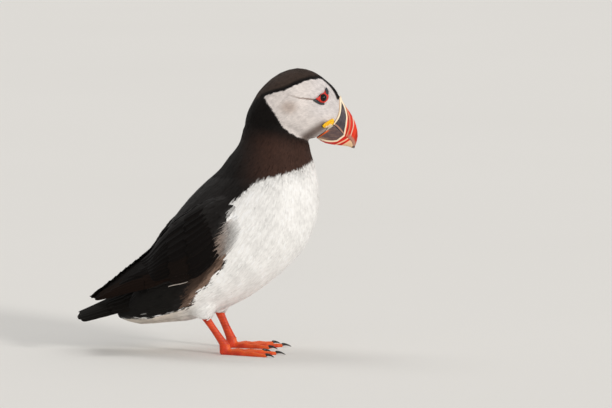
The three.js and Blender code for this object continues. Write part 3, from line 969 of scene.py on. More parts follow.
@dataclass(frozen=True)
class Markings:
    """Outlines of the plumage pattern in the marking plane, in millimetres."""

    face: Places = (
        (34.9, 191), (39.1, 192.7), (47, 194.9), (53.4, 196.9), (58.6, 199.8), (65.1, 202.4),
        (69.7, 203.7), (76.8, 204.6), (82, 203.4), (85.3, 200.2), (87.9, 196.3), (90.1, 191.4),
        (104, 190), (104, 150), (71, 156.4), (69.7, 157.6), (65.8, 159.2), (59.9, 161.2),
        (54.1, 164.1), (49.5, 167.6), (47, 171.5), (45, 175.4), (41.7, 180.7), (38.5, 185.2),
    )
    white: Places = (
        (76, 145.5), (72, 143.7), (67.5, 139.8), (62.2, 136.6), (54.5, 134.6), (44.1, 132),
        (32.4, 128.8), (25.9, 125.5), (22, 121), (16.8, 116.4), (10.3, 111.8), (8, 106),
        (8.5, 100), (9, 92), (9.5, 83.2), (9, 78.7), (5.7, 69.6), (3.8, 63.1), (-2.7, 57.9),
        (-6.6, 51.4), (-13.1, 46.2), (-17.7, 39.7), (-20.9, 34.5), (-27.4, 31.9), (-37.8, 28.6),
        (-45.6, 26.7), (-50.9, 24.8), (-58.6, 26), (-65.1, 24.8), (-80, 24), (-80, 0), (120, 0),
        (120, 145.5),
    )
    flank: Places = (
        (9, 78.7), (5.7, 69.6), (3.8, 63.1), (-2.7, 57.9), (-6.6, 51.4), (-13.1, 46.2),
        (-17.7, 39.7), (-20.9, 34.5), (-27.4, 33.2), (-24.8, 41), (-20.9, 54), (-13.1, 64),
        (-5.3, 72), (4, 82),
    )
    ear: Pair = (53.4, 183.0)
    chin: Places = ((66.0, 160.5), (72.0, 164.5), (79.5, 169.5))
    # eye_line: the feather groove behind the eye, along which shade is painted
    eye_line: Places = ((-14.3, 23.0), (-24.0, 18.9), (-30.6, 17.6), (-35.9, 15.6))
    eye_bare: Places = (
        (-9.9, 35.8), (-8.2, 35.2), (-6.3, 33.4), (-4.9, 30.4), (-4.5, 28.1), (-5, 24.9),
        (-5, 23.5), (-7.4, 22.3), (-9.5, 22.2), (-14.1, 22.6), (-12.9, 24.4), (-11.8, 27.5),
        (-10.6, 31), (-10, 33.5),
    )
    rosette_bare: Places = (
        (1, 9.1), (3.5, 14.6), (5.5, 17.4), (9, 16), (9, 10), (3, 8.4),
    )

    def bareness(self, points: Array) -> Array:
        """How far inside a bare patch of the face each point lies, in millimetres."""
        flat = head_plane(points)
        eye = np.where(points[:, 2] > 180, inside_reach(flat, self.eye_bare), -9.0)
        gape = np.where(np.abs(points[:, 1]) > 4, inside_reach(flat, self.rosette_bare), -9.0)
        return np.maximum(eye, gape)

    def tint(self, points: Array, seed: int) -> Array:
        """Works out the colour of the plumage, with painted shade along the groove behind the eye.

        Args:
            points: rows of places in millimetres.
            seed: picks the small variations.

        Returns:
            Linear colours, one row for each point.
        """
        rng, count = np.random.default_rng(seed), len(points)
        flat, head = marking_plane(points), head_plane(points)
        x, height = flat.T
        cloud, fine = waves(points, 14.0, 11), waves(points, 4.0, 12)
        face, white, flank = (inside_reach(flat, outline)
                              for outline in (self.face, self.white, self.flank))
        above = smooth(height - 0.24 * (x - 35.0), 189.0, 193.0)
        ragged = 1.1 * fine + 0.8 * rng.normal(size=count)
        dark = smooth(flank + ragged, -0.8, 0.8)
        front = smooth(0.62 * x - 0.2 * height + 2.5 * fine, -18.0, -6.0)
        front = front * rng.uniform(0.3, 1.2, count)
        edge = smooth(white, -6.0, -1.0) * rng.uniform(0.5, 1.1, count)
        wander = np.where(height > 70, 0.35, 0.9)
        coat = Tone.BACK.under(
            (Tone.COLLAR, smooth(height, 118.0, 132.0) * smooth(x, 10.0, 45.0)),
            (Tone.NAPE, smooth(height - 0.15 * (60 - x), 150.0, 166.0)),
            (Tone.CAP, above * smooth(-face, 1.5, 4.0)),
            (Tone.CAP_RIM, above * smooth(face, -2.5, -1.0)),
            (Tone.RUMP, smooth(-x, 22.0, 36.0) * smooth(-height, -62.0, -50.0)),
            (Tone.FLANK_DARK, dark),
            (Tone.FLANK, dark * np.clip(np.maximum(front, edge), 0, 1)),
            (Tone.WHITE, smooth(white + ragged * wander, -0.4, 0.4)),
            (Tone.VENT, smooth(white, -0.5, 0.5) * smooth(-x, 8.0, 40.0)),
        )
        smudge = np.hypot((x - self.ear[0]) / 7.5, (height - self.ear[1]) / 6.0)
        chin, groove = line_reach(flat, self.chin)[0], line_reach(head, self.eye_line)[0]
        fade = smooth(head[:, 0], -38.0, -16.0)
        pale = Tone.FACE.under(
            (Tone.FACE_LIGHT, smooth(x, 62.0, 80.0) * smooth(height, 168.0, 182.0)),
            (Tone.EAR, 0.6 * smooth(-smudge, -1.3, -0.2)),
            (Tone.CHIN, 0.9 * smooth(-chin, -6.5, -0.5)),
            # painted shade along the feather groove behind the eye, fading out towards its rear end
            (Tone.CREASE, 0.95 * smooth(-groove, -0.9, -0.25) * fade),
        )
        share = smooth(face + 0.25 * fine, -0.2, 0.2) * (height > 150.0)
        brow = (points[:, 0] > 68.0) & (points[:, 2] > 190.0)
        share = share * (1.0 - brow * smooth(-np.abs(points[:, 1]), -5.0, -4.0))
        jitter = 1.0 + 0.05 * cloud + 0.05 * fine + 0.05 * rng.normal(size=count)
        return np.clip(between((coat, pale), share[:, None]) * jitter[:, None], 0.0, 0.93)


@dataclass(frozen=True)
class Lie:
    """Which way the coat lies, and how deep it is.

    Each guide gives a place (x, z), the way the feathers point (x, z), and the depth.
    """

    guides: tuple[tuple[float, ...], ...] = (
        (89, 190, -0.75, 0.55, 0.7), (80, 203, -0.85, 0.45, 0.8), (60, 212, -1, 0, 0.9),
        (38, 207, -0.85, -0.5, 1), (24, 190, -0.45, -0.9, 1.1), (85, 178, -0.9, 0.3, 0.7),
        (80, 188, -1, 0.05, 0.7), (68, 190, -1, -0.1, 0.8), (52, 188, -0.95, -0.35, 0.9),
        (36, 182, -0.6, -0.8, 1.1), (74, 168, -0.95, 0, 0.7), (62, 172, -0.95, -0.3, 0.8),
        (50, 168, -0.7, -0.7, 1), (70, 160, -0.75, -0.65, 0.9), (20, 172, -0.15, -1, 1.4),
        (40, 160, -0.35, -0.95, 1.5), (60, 154, -0.25, -0.97, 1.4), (71, 148, 0.05, -1, 1.5),
        (12, 151, -0.35, -0.93, 1.7), (35, 144, -0.4, -0.9, 1.7), (55, 138, -0.2, -1, 1.8),
        (76, 125, 0.05, -1, 1.9), (60, 115, -0.1, -1, 2), (35, 120, -0.4, -0.9, 1.9),
        (76, 100, -0.15, -1, 2), (66, 78, -0.5, -0.87, 2.1), (50, 95, -0.3, -0.95, 2.1),
        (48, 60, -0.7, -0.7, 2.1), (30, 80, -0.5, -0.87, 2.1), (25, 42, -0.8, -0.55, 2.1),
        (12, 62, -0.7, -0.72, 2.1), (15, 95, -0.55, -0.83, 2), (3, 31, -0.9, -0.35, 2),
        (-5, 50, -0.75, -0.66, 2.1), (-18, 24, -1, 0, 2.1), (-20, 38, -0.8, -0.6, 2.1),
        (-40, 22, -1, -0.02, 2.1), (-60, 21, -1, 0.12, 1.9), (-45, 38, -0.93, -0.35, 2),
        (-62, 35, -0.95, -0.2, 1.9), (-74, 30, -0.98, -0.1, 1.5), (-64, 46, -0.85, -0.52, 1.8),
        (-53, 65, -0.55, -0.83, 1.8), (-40, 88, -0.5, -0.86, 1.8), (-24, 112, -0.6, -0.8, 1.9),
        (-8, 128, -0.68, -0.73, 1.9), (3, 138, -0.6, -0.8, 1.8), (15, 125, -0.65, -0.76, 1.9),
        (2, 112, -0.75, -0.66, 1.7), (-15, 95, -0.78, -0.62, 1.7), (-25, 75, -0.8, -0.6, 1.7),
        (5, 95, -0.7, -0.7, 1.7), (-38, 62, -0.85, -0.52, 1.7),
    )
    sharpness: float = 3.2
    blur: float = 4.0
    thickness: float = 0.5

    def read(self, points: Array, *columns: int) -> Array:
        """Reads columns of the guides at each point, by how near the guides are."""
        table = np.array(self.guides, float)
        gap = np.hypot(points[:, None, 0] - table[:, 0], points[:, None, 2] - table[:, 1])
        weight = 1.0 / (gap + self.blur) ** self.sharpness
        return weight / weight.sum(1, keepdims=True) @ table[:, columns]

    def way(self, points: Array, normals: Array) -> Array:
        """The unit direction along the surface in which a feather points."""
        x, z = self.read(points, 2, 3).T
        return unit(flattened(np.column_stack([x, np.zeros(len(x)), z]), normals))

    def depth(self, points: Array) -> Array:
        """How deep the coat is at each point, in millimetres."""
        return self.read(points, 4)[:, 0] * self.thickness


# ---- Wing and tail surfaces ----


class Surface:
    """A curved face that is read by two numbers, along and across."""

    step = 0.01
    facing = (0.0, 0.0, 1.0)

    def normal(self, along: Array, across: Array) -> Array:
        """Works out the normals, on the side that the face is seen from.

        Args:
            along: how far along the face.
            across: how far across it.

        Returns:
            One normal for each place.
        """
        step = self.step
        ahead = self.point(along + step, across) - self.point(along - step, across)
        aside = self.point(along, across + step) - self.point(along, across - step)
        normal = unit(np.cross(ahead, aside))
        return normal * np.sign(normal @ np.array(self.facing))[:, None]


@dataclass(frozen=True)
class WingSurface(Surface):
    """The outer face of the folded wing, read by steps along it and a share across it.

    Each station gives the upper edge (x, z), the lower edge (x, z), and the distance from the
    middle plane at the upper edge, halfway down and at the lower edge.
    """

    side: float
    reach: float
    stations: tuple[tuple[float, ...], ...] = (
        (10.5, 115, 14, 107, 34.5, 36, 36), (2.5, 119, 11.3, 93.4, 32.5, 41.5, 41.5),
        (-9, 117, 3.5, 79.8, 29.5, 45.8, 45), (-21, 109.5, -8.6, 67.3, 26.5, 46.8, 45),
        (-32.5, 100.5, -21.4, 58.5, 23.5, 45.5, 42.5), (-41.6, 90.3, -34.9, 54.9, 20, 42, 38.5),
        (-48, 80.2, -45.4, 51, 16.5, 36.5, 34), (-52.5, 74.2, -53.6, 48.3, 14, 30, 29.5),
        (-64.1, 66, -64.9, 45.4, 10.5, 22, 23), (-76.1, 55.6, -76.1, 42.2, 8, 15, 17),
        (-86.6, 47, -85.9, 40.5, 6.5, 10, 11.5), (-93.3, 40.3, -92.3, 39.3, 5, 6.3, 7),
    )
    step = 0.02

    @property
    def facing(self) -> tuple[float, float, float]:
        """The way that the wing faces."""
        return (0.0, self.side, 0.0)

    def point(self, along: Array, across: Array) -> Array:
        """Finds places on the wing's outer face.

        Args:
            along: steps along the wing, from 0 at the bend to 11 at the tip.
            across: how far down from the upper to the lower edge.

        Returns:
            Rows of places in millimetres.
        """
        row = spline(np.array(self.stations, float), along)
        bow = 4.0 * across * (1.0 - across)
        edge = between((row[:, 4], row[:, 6]), across)
        out = edge + (row[:, 5] - (row[:, 4] + row[:, 6]) / 2) * bow
        flat = between((row[:, 0:2], row[:, 2:4]), across[:, None])
        last = len(self.stations) - 1
        longer = self.reach * np.clip(along / last - 0.6, 0.0, None) / 0.4
        return np.column_stack([flat[:, 0] - longer, self.side * out, flat[:, 1]])


@dataclass(frozen=True)
class TailSurface(Surface):
    """The upper face of the closed tail fan, read by a share along and a share across."""

    x: Pair = (-60.0, -103.4)
    z: Pair = (50.0, 29.5)
    half: Pair = (17.0, 23.0)
    drop: Pair = (16.0, 3.2)
    graded: Pair = (-6.0, 10.0)

    def point(self, along: Array, across: Array) -> Array:
        """Places on the upper face of the tail, in millimetres."""
        grade = self.graded[0] * across**2 + self.graded[1] * across**6
        x = between(self.x, along) + grade * along
        z = between(self.z, along) - between(self.drop, along) * across**2
        return np.column_stack([x, between(self.half, along) * across, z])


# ---- The skin ----


@dataclass
class Skin:
    """One skin for trunk, neck, head, wings, thighs, legs and feet."""

    frame: dict
    lie: Lie
    markings: Markings
    body_grain: float = 1.3
    leg_grain: float = 0.45
    flesh: tuple[str, ...] = (
        "trunk", "neck", "head", "thigh_right", "thigh_left", "wing_right", "wing_left",
    )
    filling: tuple[str, ...] = (
        "eye_right", "eye_left", "eyelid_right", "eyelid_left",
        "gape_rosette_right", "gape_rosette_left", "bill_cere",
    )
    legs: tuple[str, ...] = ("leg_right", "leg_left", "foot_right", "foot_left")

    def build(self) -> None:
        """Makes one closed skin, sunk by the depth of the coat."""
        body = Piece.copied("skin", [*self.flesh, *self.filling], self.frame)
        body.remesh(self.body_grain, 6).keep_largest()
        outer = body.points()
        depth = self.lie.depth(outer) + smooth(self.markings.bareness(outer), -1.0, 0.1)
        body.place(outer - body.normals() * depth[:, None])
        body.modify("SMOOTH", factor=0.5, iterations=3)
        legs = [Piece.copied(f"leg {side}", [f"leg_{side}", f"foot_{side}"], self.frame)
                .remesh(self.leg_grain, 2).keep_largest() for side, _ in SIDES]
        for leg in legs:
            body.modify("BOOLEAN", operation="UNION", object=leg.thing, solver="MANIFOLD")
            bpy.data.objects.remove(leg.thing)
        self.piece = body

    def dress(self, feet: "Feet") -> None:
        """Shapes the legs, dresses the skin, and reads it into arrays for the coat.

        Args:
            feet: the relief and the masks of the bare legs.
        """
        piece, mesh = self.piece, self.piece.mesh
        feet.sculpt(piece)
        points = piece.points()
        piece.store("Leg", feet.masks(points))
        piece.tint(self.markings.tint(points, 3))
        mesh.materials.clear()
        for finish in (SkinFinish(), LegFinish()):
            mesh.materials.append(finish.material())
        first = read(mesh.loops, "vertex_index", 1, np.int32)[:, 0]
        first = first[read(mesh.polygons, "loop_start", 1, np.int32)[:, 0]]
        mesh.polygons.foreach_set("material_index", feet.is_leg(points)[first].astype(np.int32))
        while mesh.uv_layers:
            mesh.uv_layers.remove(mesh.uv_layers[0])
        mesh.uv_layers.new(name="OFBake")
        piece.edit(bpy.ops.uv.smart_project, angle_limit=math.radians(66.0), island_margin=0.002)
        piece.finish("plumage_white", replaced=[*self.flesh, *self.legs])

        self.points, self.normals, self.faces = piece.points(), piece.normals(), piece.triangles()
        corners = read(mesh.uv_layers["OFBake"].data, "uv", 2, np.float32)
        self.map = corners[piece.triangles("loops")]
        self.tree = BVHTree.FromPolygons(self.points.tolist(), self.faces.tolist())
        a, b, c = (self.points[self.faces[:, k]] for k in range(3))
        self.areas = np.linalg.norm(np.cross(b - a, c - a), axis=1) / 2

    def sample(self, count: int, seed: int) -> tuple[Array, Array, Array]:
        """Scatters candidate roots evenly over the skin.

        Args:
            count: how many roots.
            seed: picks them.

        Returns:
            Their places, normals and places on the map.
        """
        rng = np.random.default_rng(seed)
        face = rng.choice(len(self.faces), size=count, p=self.areas / self.areas.sum())
        a, b = rng.random(count), rng.random(count)
        over = a + b > 1
        a[over], b[over] = 1 - a[over], 1 - b[over]
        share = np.column_stack([1 - a - b, a, b])[:, :, None]
        corners = self.faces[face]
        places = (self.points[corners] * share).sum(1)
        normals = unit((self.normals[corners] * share).sum(1))
        return places, normals, (self.map[face] * share).sum(1)

    def nearest(self, points: Array) -> tuple[Array, Array]:
        """The nearest places of the skin and its smooth normals there."""
        found = [self.tree.find_nearest(point) for point in points.tolist()]
        faces = np.array([hit[2] for hit in found])
        return np.array([hit[0] for hit in found]), unit(self.normals[self.faces[faces]].mean(1))


# ---- The coat ----


@dataclass(frozen=True)
class Tuft:
    """The size and temper of one kind of contour feather, in millimetres."""

    spacing: float
    length: float
    half_width: float
    rise: float
    unrest: float
    curl: float = 0.0
    crisp: bool = False


class Feathers(Enum):
    """The finishes of the contour feathers."""

    SOFT = VaneFinish("soft pale feathers", 0.8, 0.2, 0.15, 9.0, 0.2, 0.03)
    FACE = VaneFinish("short pale feathers", 0.75, 0.15, 0.15, 5.0, 0.15, 0.04)
    VELVET = VaneFinish("short dark feathers", 0.66, 0.04, 0.12, 6.0, 0.3, 0.2)
    GLOSSY = VaneFinish("glossy black feathers", 0.5, 0.0, 0.16, 14.0, 0.35, 0.3)


class Zone(Enum):
    """The parts of the coat, each its own piece."""

    NONE = 0
    FACE = 1
    CAP = 2
    NECK = 3
    BREAST = 4
    BACK = 5
    COVERTS = 6
    RUMP = 7
    FLANK = 8
    VENT = 9
    CUFF = 10
    SCAPULARS = 11


ZONES: dict[Zone, tuple[Tuft, Feathers, str]] = {
    Zone.FACE: (Tuft(0.6, 3.1, 0.42, 0.45, 0.05, 0.0, True), Feathers.FACE, "face"),
    Zone.CAP: (Tuft(0.8, 4.4, 0.42, 0.9, 0.06, 0.0, True), Feathers.VELVET, "black"),
    Zone.NECK: (Tuft(1.0, 6.2, 0.58, 0.85, 0.07, 0.0, True), Feathers.VELVET, "black"),
    Zone.BREAST: (Tuft(1.12, 8.5, 0.84, 0.62, 0.05, 0.0, True), Feathers.SOFT, "white"),
    Zone.BACK: (Tuft(1.6, 10.5, 1.1, 1.0, 0.07, 0.0, True), Feathers.GLOSSY, "black"),
    Zone.COVERTS: (Tuft(2.0, 9.5, 1.4, 1.0, 0.07), Feathers.GLOSSY, "black"),
    Zone.RUMP: (Tuft(1.3, 9.5, 0.7, 1.1, 0.12), Feathers.VELVET, "black"),
    Zone.FLANK: (Tuft(1.0, 10.0, 0.55, 1.0, 0.1), Feathers.SOFT, "white"),
    Zone.VENT: (Tuft(1.0, 8.5, 0.55, 1.05, 0.12, 0.2), Feathers.SOFT, "white"),
    Zone.CUFF: (Tuft(0.85, 5.0, 0.45, 1.0, 0.12, 0.1), Feathers.SOFT, "white"),
    Zone.SCAPULARS: (Tuft(1.9, 13.0, 1.35, 1.0, 0.08), Feathers.GLOSSY, "black"),
}


@dataclass
class Coat:
    """The contour feathers, grown from the skin zone by zone."""

    skin: Skin
    lie: Lie
    markings: Markings
    feet: "Feet"
    candidates: int = 420000
    steps: tuple[float, ...] = (0.0, 0.2, 0.5, 0.82, 1.0)
    widths: tuple[float, ...] = (0.0, 0.66, 1.0, 0.8, 0.0)
    patch: float = 0.0015
    loose: Tuft = Tuft(0.55, 12.0, 0.17, 1.1, 0.16, 0.1)
    loose_way: Colour = (-0.82, 0.0, -0.57)
    loose_lift: float = 0.6
    loose_patch: Places = (
        (17, 101), (20, 92), (15, 81), (6.5, 76), (4, 80.5), (7, 91), (12, 101),
    )
    bill_edge: Places = (
        (-1, 0.6), (1.6, 2), (11, 6), (16.6, 6.9), (22, 6.6), (26.9, 5.3), (31.4, 2.8), (37, 0.2),
        (42, -1),
    )

    def zones(self, points: Array) -> Array:
        """Tells for each root which zone it belongs to.

        Args:
            points: the places of the roots.

        Returns:
            The number of each root's zone.
        """
        x, y, z = points.T
        flat = marking_plane(points)
        white, flank, face = (inside_reach(flat, outline) > 0 for outline in (
            self.markings.white, self.markings.flank, self.markings.face))
        near_leg = np.hypot(np.abs(y) - 21, 0.8 * (x + 3)) < 13
        layout = [
            (Zone.RUMP, (x < -48) | ((z < 64) & (x < -15))),
            (Zone.NECK, z > 134.5 + 0.116 * (x + 1)),
            (Zone.BREAST, white & (z < 150)),
            (Zone.FLANK, flank),
            (Zone.VENT, white & (x < -12) & (z < 40)),
            (Zone.CAP, z > 164.5 - 0.152 * (x - 18)),
            (Zone.FACE, (z > 150) & face),
            (Zone.CUFF, near_leg & (z < 37)),
            *(kind for _, side in SIDES for kind in self.on_wing(points, side)),
            (Zone.NONE, self.is_bare(points) | self.feet.is_leg(points) | (z < 12)),
        ]
        zone = np.full(len(points), Zone.BACK.value)
        for kind, mine in layout:
            zone[mine] = kind.value
        return zone

    def is_bare(self, points: Array) -> Array:
        """True for places of the head that no feather covers."""
        u, _, v = to_head(points).T
        edge = np.array(self.bill_edge, float)
        in_bill = (v > -1) & (u > np.interp(v, edge[:, 0], edge[:, 1]))
        return (self.markings.bareness(points) > 0) | in_bill

    @staticmethod
    def on_wing(points: Array, side: float) -> list[tuple[Zone, Array]]:
        """Sorts the roots on one wing into scapulars, small coverts and bare bed.

        Args:
            points: the places of the roots.
            side: -1 for the right wing and 1 for the left.

        Returns:
            The three zones, each with True for the roots that lie in it.
        """
        steps, shares = (grid.ravel() for grid in np.meshgrid(
            np.linspace(0, 9, 55), np.linspace(0.0, 1.0, 21)))
        grid = WingSurface(side, 0.0).point(steps, shares)
        scapulars, coverts, bed = (np.zeros(len(points), bool) for _ in range(3))
        index = np.where((points[:, 1] * side > 8) & (points[:, 0] < 18))[0]
        for start in range(0, len(index), 4000):
            part = index[start:start + 4000]
            gap = np.linalg.norm(points[part, None, :] - grid[None], axis=2)
            best = gap.argmin(1)
            step, share = steps[best], shares[best]
            close = gap[np.arange(len(part)), best] < 4.2
            mantle = share < np.interp(step, [0, 2, 4, 6, 8], [0.5, 0.42, 0.2, 0.1, 0.0])
            scapulars[part] = close & mantle & (share > 0.01) & (step < 7.5)
            coverts[part] = close & ~mantle & (step <= 3.4)
            bed[part] = close & ~mantle & (step > 3.4)
        return [(Zone.SCAPULARS, scapulars), (Zone.COVERTS, coverts), (Zone.NONE, bed)]

    @staticmethod
    def spread(points: Array, spacing: float) -> Array:
        """Picks roots that keep their distance from each other.

        Args:
            points: candidate places in a random order.
            spacing: the least distance between two roots.

        Returns:
            The numbers of the kept candidates.
        """
        cells: dict[tuple[int, int, int], list[list[float]]] = {}
        kept: list[int] = []
        limit = spacing * spacing
        around = [(i, j, k) for i in (-1, 0, 1) for j in (-1, 0, 1) for k in (-1, 0, 1)]
        keys = np.floor(points / spacing).astype(int).tolist()
        for index, (x, y, z) in enumerate(points.tolist()):
            a, b, c = keys[index]
            if not any(
                (p[0] - x) ** 2 + (p[1] - y) ** 2 + (p[2] - z) ** 2 < limit
                for i, j, k in around for p in cells.get((a + i, b + j, c + k), ())
            ):
                cells.setdefault((a, b, c), []).append([x, y, z])
                kept.append(index)
        return np.array(kept)

    def vanes(self, tuft: Tuft, roots: tuple[Array, Array, Array], seed: int, lift: float = 0.0,
              tint: Optional[Array] = None, way: Optional[Array] = None,
              tip: Optional[Tone] = None) -> Heap:
        """Lays one closed vane over the skin from each root.

        Args:
            tuft: the size and temper of the vanes.
            roots: where they grow, the skin's normals there, and their places on its map.
            seed: picks the small variations.
            lift: how far the vanes stand above the coat's own depth, in millimetres.
            tint: their colours, if not those of the markings.
            way: the direction that they all lean to, if not the lie of the coat.
            tip: the colour that their tips fade to, if they fade.

        Returns:
            The gathered vanes.
        """
        def headed(surface: Array, normal: Array) -> Array:
            """The direction of the vanes along the surface."""
            return self.lie.way(surface, normal) if way is None else unit(flattened(way, normal))

        rng = np.random.default_rng(100 + seed)
        surface, normal, maps = roots
        count = len(surface)
        length = tuft.length * rng.uniform(0.85, 1.15, count)
        width = tuft.half_width * rng.uniform(0.85, 1.15, count)
        height = tuft.rise * rng.uniform(0.9, 1.06, count)
        turn = rng.normal(0.0, tuft.unrest, count)[:, None]
        roll = rng.normal(0.0, 0.8 * tuft.unrest, count)[:, None]
        bend = rng.normal(0.0, 0.05 + 0.1 * tuft.curl, count)
        heading = headed(surface, normal)
        heading = unit(heading * np.cos(turn) + np.cross(normal, heading) * np.sin(turn))
        centres, ups, sides = [], [], []
        for index, step in enumerate(self.steps):
            if index:
                stride = (step - self.steps[index - 1]) * length[:, None]
                surface, normal = self.skin.nearest(surface + heading * stride)
                carried = unit(flattened(heading, normal))
                heading = unit(carried * 0.75 + headed(surface, normal) * 0.25)
            depth = self.lie.depth(surface) + lift
            rise = depth * height * step**0.45 * (1.0 - 0.08 * step**3) - 0.15 * (index == 0)
            rise = rise + tuft.curl * step**2 * length * 0.08 * rng.random(count)
            side = np.cross(normal, heading)
            side = side * np.cos(roll) + normal * np.sin(roll)
            offset = side * (bend * length * step**2)[:, None]
            centres.append(surface + normal * rise[:, None] + offset)
            ups.append(normal)
            sides.append(side)
        if tint is None:
            tint = self.markings.tint(between((centres[0], centres[-1]), 0.7), seed)
        tints = [tint] * len(centres)
        if tip:
            tints = [tint + (np.array(tip.value) - tint) * 0.8 * step**1.5 for step in self.steps]
        if tuft.crisp:
            tints = [self.markings.tint(row, seed) for row in centres]
        halves, kept = self.trimmed(centres, width)
        rows = ([row[kept] for row in part] for part in (centres, ups, sides, halves, tints))
        return self.shell(*rows, maps[kept])

    def trimmed(self, centres: list[Array], width: Array) -> tuple[list[Array], Array]:
        """Ends each vane where it would reach over bare skin.

        Args:
            centres: for each step, the middle of every vane, changed in place.
            width: the greatest half width of each vane.

        Returns:
            For each step the half widths, and which vanes are worth keeping.
        """
        halves = [width * factor for factor in self.widths]
        kept, ended = np.ones(len(width), bool), np.zeros(len(width), bool)
        if centres[0][:, 2].max() < 150:
            return halves, kept
        for index in range(1, len(centres)):
            over = self.is_bare(centres[index]) & ~ended
            kept &= ~(over & (index < 2))
            ended |= over
            before = centres[index - 1]
            short = between((before, centres[index]), 0.1)
            centres[index] = np.where(ended[:, None], short, centres[index])
            halves[index] = np.where(ended, 0.02, halves[index])
        return halves, kept

    def shell(self, centres: list[Array], ups: list[Array], sides: list[Array],
              halves: list[Array], tints: list[Array], maps: Array) -> Heap:
        """Wraps a closed three-sided strip round each centre line.

        Args:
            centres: for each step, the middle of every vane.
            ups: for each step, the outward normals.
            sides: for each step, the sideways directions.
            halves: for each step, the half widths.
            tints: for each step, the colours.
            maps: the place of each vane's root on the skin's map.

        Returns:
            The vanes as one heap.
        """
        rows, across, along, colours = [centres[0]], [0.5], [0.0], [tints[0]]
        inner = range(1, len(centres) - 1)
        for index in inner:
            half = halves[index][:, None]
            middle, side = centres[index], sides[index] * half
            up = ups[index] * (half * 0.07 + 0.02)
            rows += [middle - side - up, middle + up, middle + side - up]
            across += [0.0, 0.5, 1.0]
            along += [self.steps[index]] * 3
            colours += [tints[index]] * 3
        rows.append(centres[-1])
        colours.append(tints[-1])
        vane = np.column_stack([[*across, 0.5], [*along, 1.0]])
        per, end = len(rows), 3 * len(inner) - 2
        pairs = [(k, (k + 1) % 3) for k in range(3)]
        faces = [(0, 1 + b, 1 + a) for a, b in pairs]
        for base in range(1, end, 3):
            for a, b in pairs:
                a, b = base + a, base + b
                faces += [(a, b, b + 3), (a, b + 3, a + 3)]
        faces += [(end + a, end + b, per - 1) for a, b in pairs]
        starts = np.arange(len(maps))[:, None, None] * per
        every = (starts + np.array(faces)[None]).reshape(-1, 3)
        vane = np.tile(vane, (len(maps), 1))
        heap = Heap()
        heap.add(np.stack(rows, 1).reshape(-1, 3), every, np.stack(colours, 1).reshape(-1, 3),
                 vane, np.repeat(maps, per, 0) + (vane - 0.5) * 2 * self.patch)
        return heap

    def build(self) -> None:
        """Grows every zone and dresses it."""
        roots = self.skin.sample(self.candidates, 7)
        zones = self.zones(roots[0])
        dressed = {look: look.value.material() for look in Feathers}
        for zone, (tuft, look, slot) in ZONES.items():
            chosen = np.where(zones == zone.value)[0]
            chosen = chosen[self.spread(roots[0][chosen], tuft.spacing)]
            lift = 0.6 if zone is Zone.SCAPULARS else 0.0
            heap = self.vanes(tuft, tuple(part[chosen] for part in roots), zone.value, lift)
            piece = heap.build(f"coat_{zone.name.lower()}")
            piece.finish(f"plumage_{slot}", dressed[look], crease=60.0)
        self.build_loose(roots, dressed[Feathers.SOFT])

    def build_loose(self, roots: tuple[Array, Array, Array], material: bpy.types.Material) -> None:
        """Lays the loose pale tufts of the flank over the front of each wing.

        Args:
            roots: places, normals and map places of candidate roots.
            material: what the tufts are dressed in.
        """
        flat = marking_plane(roots[0])
        inside = inside_reach(flat, self.loose_patch) > 0
        chosen = np.where(inside & (np.abs(roots[0][:, 1]) > 20))[0]
        chosen = chosen[self.spread(roots[0][chosen], self.loose.spacing)]
        back = smooth(-flat[chosen, 0:1], -16.0, -7.0)
        grey = np.array(Tone.WHITE.value) * (1.0 - back) + np.array(Tone.TUFT.value) * back
        grey = grey * np.random.default_rng(5).uniform(0.85, 1.05, (len(chosen), 1))
        heap = self.vanes(self.loose, tuple(part[chosen] for part in roots), 77, self.loose_lift,
                          np.clip(grey, 0, 0.85), np.array(self.loose_way), Tone.FLANK_DARK)
        heap.build("coat_flank_tufts").finish("plumage_white", material, crease=60.0)


# ---- Stiff feathers ----


@dataclass(frozen=True)
class Quill:
    """One stiff feather of the wing, from its root to its tip by steps and shares.

    The webs are its half widths on the upper and the lower side, and the lift is how high it
    stands over the wing at its root and at its tip, in millimetres.
    """

    root: Pair
    tip: Pair
    webs: Pair
    lift: Pair
    tone: Colour
    bow: float = 0.0


